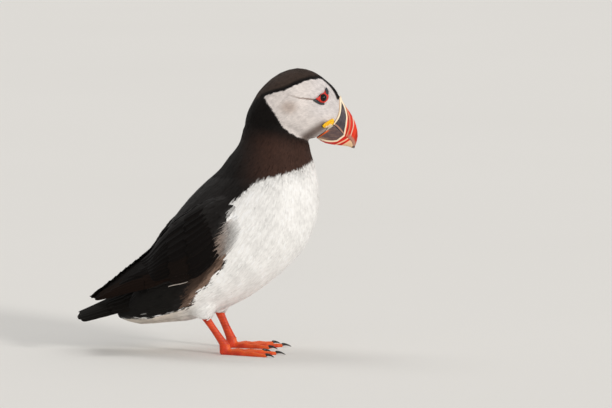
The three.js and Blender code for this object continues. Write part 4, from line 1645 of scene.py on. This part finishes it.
@dataclass
class QuillMaker:
    """Shapes stiff feathers as closed vanes with a raised shaft."""

    rings: int = 14
    cross: tuple[float, ...] = (-1.0, -0.5, -0.09, 0.0, 0.09, 0.5, 1.0)
    under: tuple[float, ...] = (0.5, 0.0, -0.5)
    thick: float = 0.26

    def shares(self) -> Array:
        """Shares of a feather's length at which it has a ring, closest near the tip."""
        return np.sin(np.linspace(0.0, math.pi / 2, self.rings))

    def profile(self, blunt: float) -> Array:
        """The half width of a vane at its rings, as a share of the greatest."""
        share = self.shares()
        body = 0.45 + 0.55 * smooth(share, 0.0, 0.35)
        end = np.sqrt(np.clip(1.0 - ((share - blunt) / (1.0 - blunt)).clip(0, 1) ** 2, 0.0, 1.0))
        return np.append((body * end)[:-1], 0.03)

    def lay(self, heap: Heap, surface: Surface, quill: Quill, seed: int,
            blunt: float = 0.72) -> None:
        """Lays one feather on a surface and adds it to a heap.

        Args:
            heap: where it goes.
            surface: what it lies on.
            quill: its ends and sizes.
            seed: picks its small irregularities.
            blunt: from which share of its length the tip rounds off.
        """
        rng, share, width = np.random.default_rng(seed), self.shares(), self.profile(blunt)
        pairs = (*zip(quill.root, quill.tip), quill.lift)
        along, across, over = (between(pair, share) for pair in pairs)
        across = across + quill.bow * 4 * share * (1 - share)
        up = surface.normal(along, across)
        centre = surface.point(along, across) + up * over[:, None]
        side = unit(np.cross(up, unit(np.gradient(centre, axis=0))))
        rows = []
        for place, top in [(k, True) for k in self.cross] + [(k, False) for k in self.under]:
            web = quill.webs[0] if place < 0 else quill.webs[1]
            half = width * web * abs(place)
            if abs(place) == 1.0:
                half = half * (1.0 + rng.normal(0.0, 0.02, len(half)))
            shaft = 1.6 if place == 0.0 else 1.0 - 0.6 * abs(place)
            rise = self.thick * shaft * (0.4 + 0.6 * width) if top else -0.5 * self.thick
            rise = rise - 0.1 * web * place**2 * width
            rows.append(centre + side * (np.sign(place) * half)[:, None] + up * rise[:, None])
        across = [0.5 + 0.5 * place for place in self.cross + self.under]
        points, faces = np.stack(rows, 1).reshape(-1, 3), self.tube(len(centre), len(rows))
        vane = np.column_stack([np.tile(across, len(centre)), np.repeat(share, len(rows))])
        tints = np.tile(np.array(quill.tone) * rng.uniform(0.85, 1.15), (len(points), 1))
        heap.add(points, self.outward(points, faces), tints, vane, vane)

    @staticmethod
    def tube(count: int, per: int) -> Array:
        """Joins rings of vertices into a closed tube.

        Args:
            count: how many rings.
            per: how many vertices a ring has.

        Returns:
            The triangles.
        """
        faces = []
        for ring in range(0, (count - 1) * per, per):
            for k in range(per):
                a, b = ring + k, ring + (k + 1) % per
                faces += [(a, b, b + per), (a, b + per, a + per)]
        last = (count - 1) * per
        for k in range(1, per - 1):
            faces += [(0, k + 1, k), (last, last + k, last + k + 1)]
        return np.array(faces)

    @staticmethod
    def outward(points: Array, faces: Array) -> Array:
        """Turns all faces of a closed shape so that they point outwards."""
        a, b, c = (points[faces[:, k]] - points.mean(0) for k in range(3))
        return faces if (a * np.cross(b, c)).sum() > 0 else faces[:, ::-1]


@dataclass
class Wing:
    """The stiff feathers of one folded wing: quills and coverts over a dark bed."""

    name: str
    side: float
    reach: float
    maker: QuillMaker
    frame: dict

    def quills(self) -> dict[str, list[Quill]]:
        """Lays out the feathers, row by row, from the lowest of each row to the highest."""
        # brown and warm are a painted brown sheen on the lowest primaries and greater coverts, and
        # pale is a painted highlight along the wing's lower edge
        dark, brown, black = srgb(10, 7, 6), srgb(24, 14, 9), srgb(13, 10, 9)
        pale, warm = srgb(190, 180, 172), srgb(20, 14, 11)
        return {
            "primaries": [
                Quill((4.6 - 0.12 * k, 0.92 - 0.085 * k),
                      (10.95 - 0.5 * k - 0.01 * k * k, 0.6 - 0.055 * k), (6.0, 2.6),
                      (-1.3 + 0.15 * k, -1.0 + 0.2 * k), brown if k < 4 else dark, 0.03)
                for k in range(9)],
            "secondaries": [
                # a thin pale strip along the wing's lower edge: a painted highlight
                Quill((4.05, 1.03), (5.15, 1.04), (0.45, 0.45), (-0.3, 0.0), pale),
                *(Quill((3.2, 0.8 - 0.08 * k), (6.3 + 0.14 * k, 0.7 - 0.075 * k), (4.6, 3.4),
                        (-0.4 + 0.1 * k, 0.3 + 0.1 * k), dark) for k in range(9))],
            "greater_coverts": [
                Quill((2.8, 0.95 - 0.1 * k), (4.95 - 0.05 * k + 0.1 * (k % 2), 0.94 - 0.1 * k),
                      (3.9, 3.3), (0.0, 0.9 + 0.05 * k), warm if k < 4 else black)
                for k in range(9)],
            "median_coverts": [
                Quill((2.2, 0.97 - 0.085 * k),
                      (3.85 - 0.05 * k + 0.12 * (k % 2), 0.97 - 0.085 * k), (3.0, 2.8),
                      (0.0, 1.3 + 0.03 * k), black)
                for k in range(11)],
            "tertials": [
                Quill((4.4 - 0.25 * k, 0.34 - 0.045 * k), (7.9 - 0.5 * k, 0.36 - 0.035 * k),
                      (3.6, 3.6), (0.2, 0.5 + 0.15 * k), black, 0.02)
                for k in range(5)],
        }

    def build(self, material: bpy.types.Material) -> None:
        """Builds every row of feathers, each as a piece of its own, and the bed."""
        surface = WingSurface(self.side, self.reach)
        node = f"primaries_{self.name}"
        for row, quills in self.quills().items():
            heap = Heap()
            for index, quill in enumerate(quills):
                if self.side > 0:
                    quill = replace(quill, webs=quill.webs[::-1])
                self.maker.lay(heap, surface, quill, 31 * index + 7)
            stood_for = [node] if row == "primaries" else []
            heap.build(f"{row}_{self.name}").finish("plumage_black", material, stood_for, 50.0)
        bed = Piece.copied(f"primary_bed_{self.name}", [node], self.frame).remesh(0.8, 3)
        points = bed.points()
        bed.place(points - bed.normals())
        bed.tint(np.tile(srgb(14, 11, 10), (len(points), 1)))
        bed.mesh.uv_layers.new(name="Vane")
        bed.finish("plumage_black", material)


@dataclass
class Tail:
    """The sixteen tail feathers and three rows of coverts over their roots."""

    maker: QuillMaker
    pairs: int = 8
    coverts: int = 15
    tone: Colour = srgb(13, 11, 9)

    def build(self, material: bpy.types.Material) -> None:
        """Builds the tail feathers, the middle pair on top, and the coverts."""
        surface, heap = TailSurface(), Heap()
        for layer in range(self.pairs - 1, -1, -1):
            for _, side in SIDES:
                place = (layer + 0.5) / self.pairs
                lift = -0.14 * layer - (0.07 if side > 0 else 0.0) + 0.1
                quill = Quill((0.0, place * 0.92 * side), (1.0, place * side), (3.3, 3.3),
                              (lift, lift), self.tone)
                self.maker.lay(heap, surface, quill, 211 + layer, 0.93)
        heap.build("tail_feathers").finish("plumage_black", material, ["tail"], 50.0)
        heap = Heap()
        for row, tip in enumerate((0.47, 0.36, 0.24)):
            count = self.coverts + row % 2
            for index in range(count):
                across = (2.0 * index + 1.0) / count - 1.0
                end = tip + 0.025 * math.sin(7.0 * index + row)
                quill = Quill((-0.1, across), (end, across * 1.02), (2.6, 2.6),
                              (0.5 + 0.9 * row, 0.45 + 0.4 * row), self.tone)
                self.maker.lay(heap, surface, quill, 311 + 20 * row + index, 0.7)
        heap.build("tail_coverts").finish("plumage_black", material, crease=50.0)


# ---- Bill ----


def ridge(reach: Array, height: float, width: float) -> Array:
    """The rise of a rounded ridge, or of a groove where the height is below zero."""
    return height * np.exp(-((reach / width) ** 2))


@dataclass
class Bill:
    """The upper and the lower bill, each remeshed finely and carved with ridges and grooves."""

    frame: dict
    grain: float = 0.28
    cere: Places = (
        (-0.8, 37.9), (1.5, 35.8), (3.4, 33.4), (5, 30.8), (6.7, 27.5), (7.8, 24.7), (8.6, 21.7),
        (8.7, 18.6), (8.3, 15.9), (7.9, 13),
    )
    ridge: Places = (
        (1.8, 35.5), (3.8, 33.6), (6, 31.7), (8.3, 30.1), (10.6, 27.9), (12.6, 25.6), (14.3, 23.1),
        (15.5, 20.3), (16.6, 17.5), (17.5, 14.6), (18.3, 12.4), (18.8, 10),
    )
    first: Places = (
        (5.3, 33.2), (8, 31.6), (10.7, 29.6), (12.9, 27.5), (15.2, 25.3), (17.1, 22.9),
        (18.6, 20.3), (19.7, 17.5), (20.3, 14.4), (20.8, 11.2), (20.9, 9.6),
    )
    second: Places = (
        (9.8, 31.3), (12.7, 29.9), (15.2, 28.3), (17.4, 26.5), (19.4, 24.1), (21, 21.6),
        (22.1, 18.8), (22.6, 16.5), (23.1, 13.8), (23.7, 11.1), (23.9, 9.6),
    )
    mouth: Places = (
        (5.3, 13.5), (8.6, 13.6), (11.1, 13.4), (14, 12.4), (16.7, 11.3), (19.1, 10.5),
        (21.5, 10.4), (23.8, 10.1), (26.1, 9), (28.3, 7.2), (29.9, 5),
    )
    base: Places = ((7.6, 12.6), (4.9, 7.0), (1.9, 1.8), (0.0, -1.2))
    rim: Places = (
        (-1.5, 0), (-0.5, -0.2), (2.6, -0.5), (5.9, -0.1), (8.9, 0.6), (11.7, 1.7), (14.3, 3.2),
        (16.1, 4.7), (17.3, 7.1), (18.3, 9.2), (19.4, 11.6),
    )
    low_first: Places = ((16.4, 0.9), (17.6, 2.5), (19.3, 4.9), (20.8, 7.0), (22.6, 10.2))
    low_second: Places = ((20.0, 1.2), (21.2, 3.0), (23.0, 6.1), (25.2, 10.2))
    tip: Pair = (29.7, 5.9)
    # the gape corner, round which the upper bill is painted dark as shade
    corner: Pair = (8.3, 13.3)

    def carve(self, name: str, nodes: Sequence[str], slot: str,
              shape: Callable[[Array], tuple[Array, ...]], finish: object) -> None:
        """Builds one half of the bill.

        Args:
            name: the name of the new piece.
            nodes: the CAD nodes that it stands for.
            slot: the record's material slot.
            shape: works out, from the places in the head's plane, the rise along the normals, the
                moves along the head's frame, and the distances to the ridges and the grooves.
            finish: its finish.
        """
        piece = Piece.copied(name, nodes, self.frame).remesh(self.grain, 5)
        points, normals = piece.points(), piece.normals()
        rise, u, v, ridges, grooves = shape(head_plane(points))
        sideways = normals * smooth(np.abs(normals[:, 1]), 0.15, 0.5)[:, None]
        moved = from_head(np.column_stack([u, 0 * u, v])) - from_head(np.zeros((1, 3)))
        piece.place(points + sideways * rise[:, None] + moved)
        piece.store("Ridges", *ridges)
        piece.store("Grooves", *grooves)
        piece.finish(slot, finish.material(), nodes)

    def upper(self, flat: Array) -> tuple[Array, ...]:
        """The relief and the distances of the upper half, as carve() needs them."""
        cere, crest, mouth, first, second = (curve_reach(flat, line) for line in (
            self.cere, self.ridge, self.mouth, self.first, self.second))
        rise = ridge(crest, 0.3, 0.55) + ridge(cere, 0.25, 0.6)
        for line in (first, second):
            rise = rise - ridge(line, 0.32, 0.4) + ridge(line - 1.1, 0.12, 0.7)
        tip = np.hypot(*(flat - self.tip).T)
        corner = np.hypot(*(flat - self.corner).T)
        hook = smooth(-tip, -4.0, -0.5)
        # the third distance is to the nearer of the tip and the gape corner, so shade is painted
        # round the gape corner in the tip's dark tone
        grooves = (first, second, np.minimum(tip, corner + 1.1))
        return rise, 0.1 * hook, -0.45 * hook, (cere, crest, mouth), grooves

    def lower(self, flat: Array) -> tuple[Array, ...]:
        """The relief and the distances of the lower half, as carve() needs them."""
        base, rim, mouth, first, second = (curve_reach(flat, line) for line in (
            self.base, self.rim, self.mouth, self.low_first, self.low_second))
        rise = ridge(rim, 0.3, 0.55) + ridge(base, 0.25, 0.5)
        for line in (first, second):
            rise = rise - ridge(line, 0.3, 0.35) * smooth(-rim, 0.3, 0.8)
        tip = np.hypot(*(flat - self.tip).T)
        back = 1.4 * smooth(-base, -0.9, -0.1) + 0.4 * smooth(-tip, -4.0, -0.5)
        lift = 0.28 * smooth(mouth, -0.9, -0.3) * smooth(flat[:, 0], 4.0, 9.0)
        return rise, -back, lift, (base, rim, flat[:, 1]), (first, second, tip)

    def build(self) -> None:
        """Builds both halves of the bill."""
        self.carve("bill_upper_horn", ["bill_upper", "bill_cere"], "horn_red", self.upper,
                   UpperBillFinish())
        self.carve("bill_lower_horn", ["bill_lower"], "horn_slate", self.lower, LowerBillFinish())


# ---- Eyes and gape ----


@dataclass
class FaceSkin:
    """The bare parts of the face: eyes, rims, plates and the folded skin at the gape."""

    frame: dict
    seen_eye: Pair = (-8.25, 27.8)
    eye_radius: float = 3.3
    bulge: float = 2.05
    rim_radius: float = 2.95
    red: Places = (
        (-9.8, 33.6), (-8.1, 32.5), (-6.4, 32.1), (-5, 30.3), (-4.6, 28.1), (-5.1, 26), (-6, 24.6),
        (-7.9, 23.8), (-9.7, 23.9), (-11.3, 24.2), (-12.7, 24.4), (-11.8, 26.2), (-11, 27.9),
        (-10.7, 29.8), (-9.8, 31.2), (-9.7, 32.3),
    )
    upper_plate: Places = (
        (-9.9, 35.8), (-8.4, 35.1), (-6.7, 33.4), (-6.1, 31.6), (-7.5, 31.3), (-8.8, 32.1),
        (-9.7, 33.7),
    )
    lower_plate: Places = (
        (-14.1, 22.7), (-13.1, 23.9), (-11.4, 24), (-9.5, 23.7), (-7.9, 23.8), (-5.9, 24.7),
        (-5.1, 23.6), (-7.4, 22.4), (-9.5, 22.3), (-11.9, 22.3),
    )
    rosette: Places = (
        (0.9, 9.1), (1.8, 11.8), (3.4, 14.7), (5.4, 17.4), (6.8, 16.9), (7.5, 15), (7.2, 12.9),
        (5.2, 9.9), (2.8, 8.4),
    )
    cream_fold: Places = ((4.1, 9.6), (5.3, 11.0), (6.4, 12.9))
    span: float = 13.0

    def __post_init__(self) -> None:
        """Fits a smooth cheek over the head, past the places cut out of it."""
        node = Piece(self.frame["nodes"]["head"])
        tree = BVHTree.FromPolygons(node.points().tolist(), node.triangles().tolist())
        steps = np.arange(-self.span, self.span + 0.1, 1.0)
        self.cheeks = {}
        for key, middle, hole in (("eye", (-8.7, 29.6), 5.6), ("gape", (3.6, 13.6), 5.2)):
            grid = np.stack(np.meshgrid(steps, steps), 2).reshape(-1, 2)
            gap = np.hypot(*grid.T)
            grid = grid[(gap > hole) & (gap < 12.0)] + np.array(middle)
            starts = from_head(np.column_stack([grid[:, 0], np.full(len(grid), 60.0), grid[:, 1]]))
            hits = [tree.ray_cast(start, (0.0, -1.0, 0.0), 60.0) for start in starts.tolist()]
            good = [hit[0] is not None and hit[1].y > 0.25 for hit in hits]
            sides = np.array([hit[0].y for hit, sound in zip(hits, good) if sound])
            terms = self.terms(grid[np.array(good)] - np.array(middle))
            fit = np.linalg.lstsq(terms, sides, rcond=None)[0]
            self.cheeks[key] = (np.array(middle), fit)
            miss = float(np.sqrt(((terms @ fit - sides) ** 2).mean()))
            LOG.info("%s: the fitted cheek is off by %.2f mm", key, miss)
        self.eye = self.placed("eye", np.array([self.seen_eye]))[0]

    @staticmethod
    def terms(flat: Array) -> Array:
        """The terms of a cubic over flat places."""
        u, v = flat.T / 10.0
        return np.column_stack([
            np.ones(len(u)), u, v, u * u, u * v, v * v, u**3, u * u * v, u * v * v, v**3,
        ])

    def cheek(self, key: str, uv: Array) -> Array:
        """How far out the smooth cheek lies at places of the head's frame."""
        middle, fit = self.cheeks[key]
        return self.terms(uv - middle) @ fit

    def placed(self, key: str, seen: Array) -> Array:
        """Turns places of the marking plane into places on a cheek.

        Args:
            key: which fitted cheek.
            seen: places of the marking plane, level with the head.

        Returns:
            Places of the head's frame.
        """
        places = seen.copy()
        for _ in range(3):
            out = self.cheek(key, places)
            real = from_head(np.column_stack([seen[:, 0], out, seen[:, 1]]))
            lowered = real[:, 2] - VIEW_HEIGHT + out * math.sin(VIEW_TILT)
            real[:, 2] = VIEW_HEIGHT + lowered / math.cos(VIEW_TILT)
            places = to_head(real)[:, [0, 2]]
        return places

    def pad(self, name: str, key: str, outline: Places, side: float, height: float,
            relief: Callable[[Array], Array], finish: tuple[str, bpy.types.Material],
            replaced: Sequence[str] = ()) -> None:
        """Lays a domed pad with a rounded rim on the cheek.

        Args:
            name: the name of the piece.
            key: which fitted cheek it lies on.
            outline: its outline in the head's frame.
            side: -1 for the right side and 1 for the left.
            height: how high it stands over the cheek, in millimetres.
            relief: extra height by place.
            finish: the record's material slot, and what the pad is dressed in.
            replaced: the CAD nodes that it stands for.
        """
        corners = self.placed(key, np.array(outline, float))
        count = 8 * len(corners)
        loop = spline(np.vstack([corners, corners[:1]]), np.arange(count) / 8)
        bpy.ops.object.select_all(action="DESELECT")
        bpy.ops.mesh.primitive_uv_sphere_add(segments=count, ring_count=20, radius=MM)
        piece = Piece.active(name)
        ball = piece.points()
        share = np.hypot(ball[:, 0], ball[:, 1]).clip(0, 1)
        turn = np.arctan2(ball[:, 1], ball[:, 0]) / (2 * math.pi) * count
        middle = corners.mean(0)
        flat = middle + (loop[np.round(turn).astype(int) % count] - middle) * share[:, None]
        dome = np.sqrt(1.0 - share**4)
        rise = np.where(ball[:, 2] > -0.01, height * dome + relief(flat) * dome, -1.3)
        out = self.cheek(key, flat) + rise
        piece.place(from_head(np.column_stack([flat[:, 0], side * out, flat[:, 1]])))
        fold = line_reach(head_plane(piece.points()), self.cream_fold)[0]
        cream = smooth(-fold, -0.75, -0.35)
        # the first value marks the valleys of the folds, where the rosette's finish paints shade
        piece.store("Folds", smooth(-relief(flat), 0.0, 0.2), cream, cream)
        piece.outwards()
        piece.finish(*finish, replaced)

    def build(self) -> None:
        """Builds both eyes with their rims and plates, and both rosettes."""
        red = GrainedFinish("red rim of the eye", srgb(226, 44, 20), srgb(188, 22, 10), 0.5,
                            1500.0, 0.06).material()
        plate = GrainedFinish("blue-grey eye plate", srgb(46, 53, 61), srgb(18, 21, 26), 0.5,
                              900.0, 0.08).material()
        yellow = RosetteFinish().material()
        eye = EyeFinish().material()

        def bead(flat: Array) -> Array:
            """Fine puckering of the rim."""
            return 0.05 * np.sin(flat[:, 0] * 5.1) * np.sin(flat[:, 1] * 4.7)

        def folds(flat: Array) -> Array:
            """Folds that run round the corner of the gape."""
            reach = np.hypot(flat[:, 0] - 8.4, flat[:, 1] - 13.0)
            return 0.28 * np.sin(reach * 3.6) + 0.05 * np.sin(flat[:, 1] * 6.0)

        def plain(flat: Array) -> Array:
            """No relief at all."""
            return 0 * flat[:, 0]

        for name, side in SIDES:
            self.ball(f"eyeball_{name}", side, eye, f"eye_{name}")
            self.rim(f"eye_rim_{name}", side, red)
            self.pad(f"eye_red_{name}", "eye", self.red, side, 0.65, bead, ("eyelid", red),
                     [f"eyelid_{name}"])
            self.pad(f"eye_plate_upper_{name}", "eye", self.upper_plate, side, 0.95, plain,
                     ("eyelid", plate))
            self.pad(f"eye_plate_lower_{name}", "eye", self.lower_plate, side, 0.75, plain,
                     ("eyelid", plate))
            self.pad(f"rosette_{name}", "gape", self.rosette, side, 1.0, folds,
                     ("gape_skin", yellow), [f"gape_rosette_{name}"])

    def ball(self, name: str, side: float, material: bpy.types.Material, node: str) -> None:
        """Builds one eyeball, with the distance from the middle of its pupil stored.

        Args:
            name: the name of the piece.
            side: -1 for the right side and 1 for the left.
            material: what it is dressed in.
            node: the CAD node that it stands for.
        """
        step = 0.1
        spots = self.eye + np.array([[0.0, 0.0], [step, 0.0], [0.0, step]])
        out = self.cheek("eye", spots)
        way = unit(np.array([(out[0] - out[1]) / step, side, (out[0] - out[2]) / step]))
        surface = np.array([spots[0, 0], side * out[0], spots[0, 1]])
        centre = from_head((surface - way * (self.eye_radius - self.bulge))[None])[0]
        axis = from_head((surface + way)[None])[0] - from_head(surface[None])[0]
        bpy.ops.object.select_all(action="DESELECT")
        bpy.ops.mesh.primitive_uv_sphere_add(
            segments=48, ring_count=24, radius=self.eye_radius * MM, location=tuple(centre * MM),
            rotation=(math.pi / 2, 0, 0))
        piece = Piece.active(name)
        bpy.ops.object.transform_apply(location=True, rotation=True, scale=True)
        local = piece.points() - centre
        ahead = local @ axis
        reach = np.linalg.norm(local - ahead[:, None] * axis, axis=1)
        piece.store("Reach", np.where(ahead > 0, reach, 9.0))
        piece.finish("eye", material, [node])

    def rim(self, name: str, side: float, material: bpy.types.Material) -> None:
        """Builds the swollen rim close round the eyeball.

        Args:
            name: the name of the piece.
            side: -1 for the right side and 1 for the left.
            material: what it is dressed in.
        """
        bpy.ops.object.select_all(action="DESELECT")
        bpy.ops.mesh.primitive_torus_add(
            major_radius=self.rim_radius * MM, minor_radius=0.34 * MM, major_segments=64,
            minor_segments=14)
        piece = Piece.active(name)
        local = piece.points()
        angle = np.arctan2(local[:, 1], local[:, 0])
        away = np.abs(np.angle(np.exp(1j * (angle - math.radians(160.0)))))
        middle = np.column_stack([np.cos(angle), np.sin(angle)]) * self.rim_radius
        slim = 0.6 + 0.4 * smooth(away, 0.4, 1.1)[:, None]
        uv = (local[:, :2] - middle) * slim + middle * (0.9 + 0.1 * slim) + self.eye
        rise = local[:, 2] * slim[:, 0] * 1.1 + 0.05 * np.sin(22 * angle)
        out = self.cheek("eye", uv) + 0.35 + rise
        piece.place(from_head(np.column_stack([uv[:, 0], side * out, uv[:, 1]])))
        piece.outwards()
        piece.finish("eyelid", material)


# ---- Feet ----


@dataclass
class Feet:
    """The relief and the masks of the bare legs, and the claws."""

    frame: dict
    joints: tuple[Colour, ...] = ((6.2, -21.0, -0.06), (10.6, 21.0, 0.06))
    heels: Pair = (-10.8, -0.6)
    ankles: Pair = (5.4, 9.8)
    spread: float = 21.0
    toes: Places = ((30.0, 0.42), (38.0, 0.0), (35.0, -0.45))
    scute: float = 2.1
    claw_growth: float = 1.16

    def is_leg(self, points: Array) -> Array:
        """True where the skin is bare: on the shanks and the feet."""
        x, y, z = points.T
        near = np.full(len(points), 9.0)
        for index, (_, side) in enumerate(SIDES):
            down = np.clip((30.5 - z) / 23.2, 0.0, 1.0)
            axis = between((self.heels[index], self.ankles[index]), down)
            reach = np.hypot(x - axis, y - side * self.spread) / 5.4
            reach[z > 29.8] = 9.0
            reach[(z < 7.4) & (y * side > 0)] = 0.5
            near = np.minimum(near, reach)
        return near < 1.0

    def fields(self, points: Array) -> tuple[Array, ...]:
        """Reads how each point lies to the toes.

        Args:
            points: rows of places in millimetres.

        Returns:
            Nearness to a toe's ridge, the way along that toe, how webbed each point is, how far
            it lies past the end of that toe, and its offset from the toe's middle line.
        """
        ridges, along, web = (np.zeros(len(points)) for _ in range(3))
        past, offset = np.full(len(points), -99.0), np.zeros((len(points), 3))
        for (x0, y0, turned), (_, side) in zip(self.joints, SIDES):
            mine = (points[:, 1] * side > 0) & (points[:, 2] < 7.6)
            dx, dy = points[:, 0] - x0, points[:, 1] - y0
            forward = dx * math.cos(turned) + dy * math.sin(turned)
            inner = (-dx * math.sin(turned) + dy * math.cos(turned)) * -side
            best = np.full(len(points), 99.0)
            for length, turn in self.toes:
                cos, sin = math.cos(turn), math.sin(turn)
                reach, signed = forward * cos + inner * sin, inner * cos - forward * sin
                aside = np.where((reach > -2) & (reach < length + 2), np.abs(signed), 99.0)
                nearer = mine & (aside < best)
                along[nearer] = reach[nearer]
                past[nearer] = reach[nearer] - length
                heading = turned - side * turn
                across = np.array([-math.sin(heading), math.cos(heading), 0.0]) * -side
                offset[nearer] = signed[nearer, None] * across
                best = np.minimum(best, aside)
            ridges = np.where(mine, smooth(-best, -3.0, -0.8), ridges)
            web = np.where(mine, smooth(best, 1.8, 3.4) * (forward > 6.0), web)
        return ridges, along, web, past, offset

    def folds(self, points: Array) -> Array:
        """Creases that run across the webs, strongest near their front edges."""
        x, y = points[:, 0], points[:, 1]
        lines = np.sin(y * 1.7 + waves(points[:, :2], 16.0, 41) * 2.2 + x * 0.35)
        patches = smooth(waves(points[:, :2], 12.0, 43), -0.4, 0.6)
        return smooth(lines, 0.72, 1.0) * smooth(x, 22.0, 34.0) * patches

    def sculpt(self, piece: Piece) -> None:
        """Raises scutes on the shanks and toes and wrinkles the webs."""
        points, normals = piece.points(), piece.normals()
        x, _, z = points.T
        leg = self.is_leg(points)
        ridges, along, web, past, offset = self.fields(points)
        rings = np.abs(np.sin(z * math.pi / self.scute))
        front = smooth(normals[:, 0], -0.2, 0.6)
        rise = np.where(leg & (z > 7.2), 0.16 * rings**0.5 * (0.35 + front), 0.0)
        scutes = np.abs(np.sin(along * math.pi / 1.9)) ** 0.5
        rise += 0.2 * ridges * scutes * (normals[:, 2] > 0.2) * leg
        wrinkles = 0.1 * waves(points[:, :2], 3.0, 42) - 0.3 * self.folds(points)
        rise += web * leg * (normals[:, 2] > 0.5) * wrinkles
        rise[z < 1.0] = 0.0
        taper = (0.32 * smooth(past, -5.0, 0.2) * leg * (np.abs(offset).max(1) < 3.2))[:, None]
        sink = np.array([0.0, 0.0, 1.0]) * (points[:, 2:3] - 1.4).clip(0.0)
        piece.place(points + normals * rise[:, None] - taper * (offset + sink))

    def masks(self, points: Array) -> Array:
        """Masks for the leg finish, one row for each point: the scute ridges, where a highlight is
        painted, the web folds, where shade is painted, and the webs.
        """
        ridges, _, web, _, _ = self.fields(points)
        rings = 0.35 * np.abs(np.sin(points[:, 2] * math.pi / self.scute))
        # painted highlight on the scute rings of the shanks
        shank_highlight = np.where(points[:, 2] > 7.4, rings, 0.0)
        return np.column_stack([np.clip(ridges + shank_highlight, 0, 1), self.folds(points) * web, web])

    def build_claws(self) -> None:
        """Builds the six smooth claws over their nodes."""
        horn = GrainedFinish("dark claw horn", srgb(44, 36, 32), srgb(18, 14, 13), 0.35, 700.0,
                             0.08, 0.2).material()
        for side, _ in SIDES:
            for toe in ("inner", "middle", "outer"):
                node = f"claw_{side}_{toe}"
                claw = Piece.copied(f"nail_{side}_{toe}", [node], self.frame)
                claw.modify("SUBSURF", levels=2, render_levels=2)
                points = claw.points()
                tip = points[points[:, 0].argmax()]
                points = tip + (points - tip) * self.claw_growth
                points[:, 2] = np.maximum(points[:, 2], 0.02)
                claw.place(points)
                claw.finish("claw", horn, [node])


# ---- Studio ----


@dataclass
class Studio:
    """The floor, the lights and the camera."""

    aim: Colour = (66.375, 0.0, VIEW_HEIGHT)
    distance: float = 5.0
    lens: float = 392.2
    world_light: Colour = (1.0, 0.985, 0.97)
    strength: float = 0.58

    def build(self) -> None:
        """Lays the floor, hangs the lights and sets the camera."""
        bpy.ops.object.select_all(action="DESELECT")
        bpy.ops.mesh.primitive_circle_add(vertices=96, radius=30.0, fill_type="NGON")
        floor = Piece.active("floor")
        floor.mesh.materials.append(FloorFinish().material())
        world = bpy.data.worlds.new("studio")
        bpy.context.scene.world = world
        world.use_nodes = True
        background = world.node_tree.nodes["Background"]
        background.inputs["Color"].default_value = (*self.world_light, 1.0)
        background.inputs["Strength"].default_value = self.strength
        self.lamp("key", (0.95, -0.9, 0.5), 12.0, 1.4, (1.0, 0.96, 0.91))
        self.lamp("fill", (0.05, -1.0, -0.05), 40.0, 0.42, (1.0, 0.97, 0.93))
        self.lamp("top light", (-0.5, 0.5, 1.3), 30.0, 0.5, (1.0, 0.98, 0.95))
        self.camera()

    @staticmethod
    def lamp(name: str, place: Colour, spread: float, power: float, colour: Colour) -> None:
        """Hangs one soft distant lamp.

        Args:
            name: its name.
            place: where it shines from, towards the bird.
            spread: how wide it looks from the bird, in degrees.
            power: its strength.
            colour: its colour.
        """
        data = bpy.data.lights.new(name, "SUN")
        data.angle, data.energy, data.color = math.radians(spread), power, colour
        linked(name, data).rotation_euler = (-Vector(place)).to_track_quat("-Z", "Y").to_euler()

    def camera(self) -> None:
        """Sets the camera at the bird's side, a little above it."""
        data = bpy.data.cameras.new("camera")
        data.lens, data.sensor_width = self.lens, 36.0
        data.clip_start, data.clip_end = 0.1, 100.0
        camera = linked("camera", data)
        back = Vector((0.0, -math.cos(VIEW_TILT), math.sin(VIEW_TILT)))
        camera.location = Vector(self.aim) * MM + back * self.distance
        camera.rotation_euler = (-back).to_track_quat("-Z", "Y").to_euler()
        bpy.context.scene.camera = camera


# ---- The whole bird ----


def main() -> None:
    """Builds the bird, piece by piece, and the studio round it."""
    logging.basicConfig(level=logging.INFO, format="%(name)s: %(message)s")
    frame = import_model()
    bpy.ops.object.select_all(action="DESELECT")
    bpy.context.scene.view_settings.view_transform = "Standard"

    lie, markings, feet, maker = Lie(), Markings(), Feet(frame), QuillMaker()
    skin = Skin(frame, lie, markings)
    skin.build()
    skin.dress(feet)
    feet.build_claws()
    Coat(skin, lie, markings, feet).build()
    stiff = FlightFinish().material()
    for (name, side), reach in zip(SIDES, (0.0, 3.5)):
        Wing(name, side, reach, maker, frame).build(stiff)
    Tail(maker).build(stiff)
    Bill(frame).build()
    FaceSkin(frame).build()
    Studio().build()


if __name__ == "__main__":
    main()
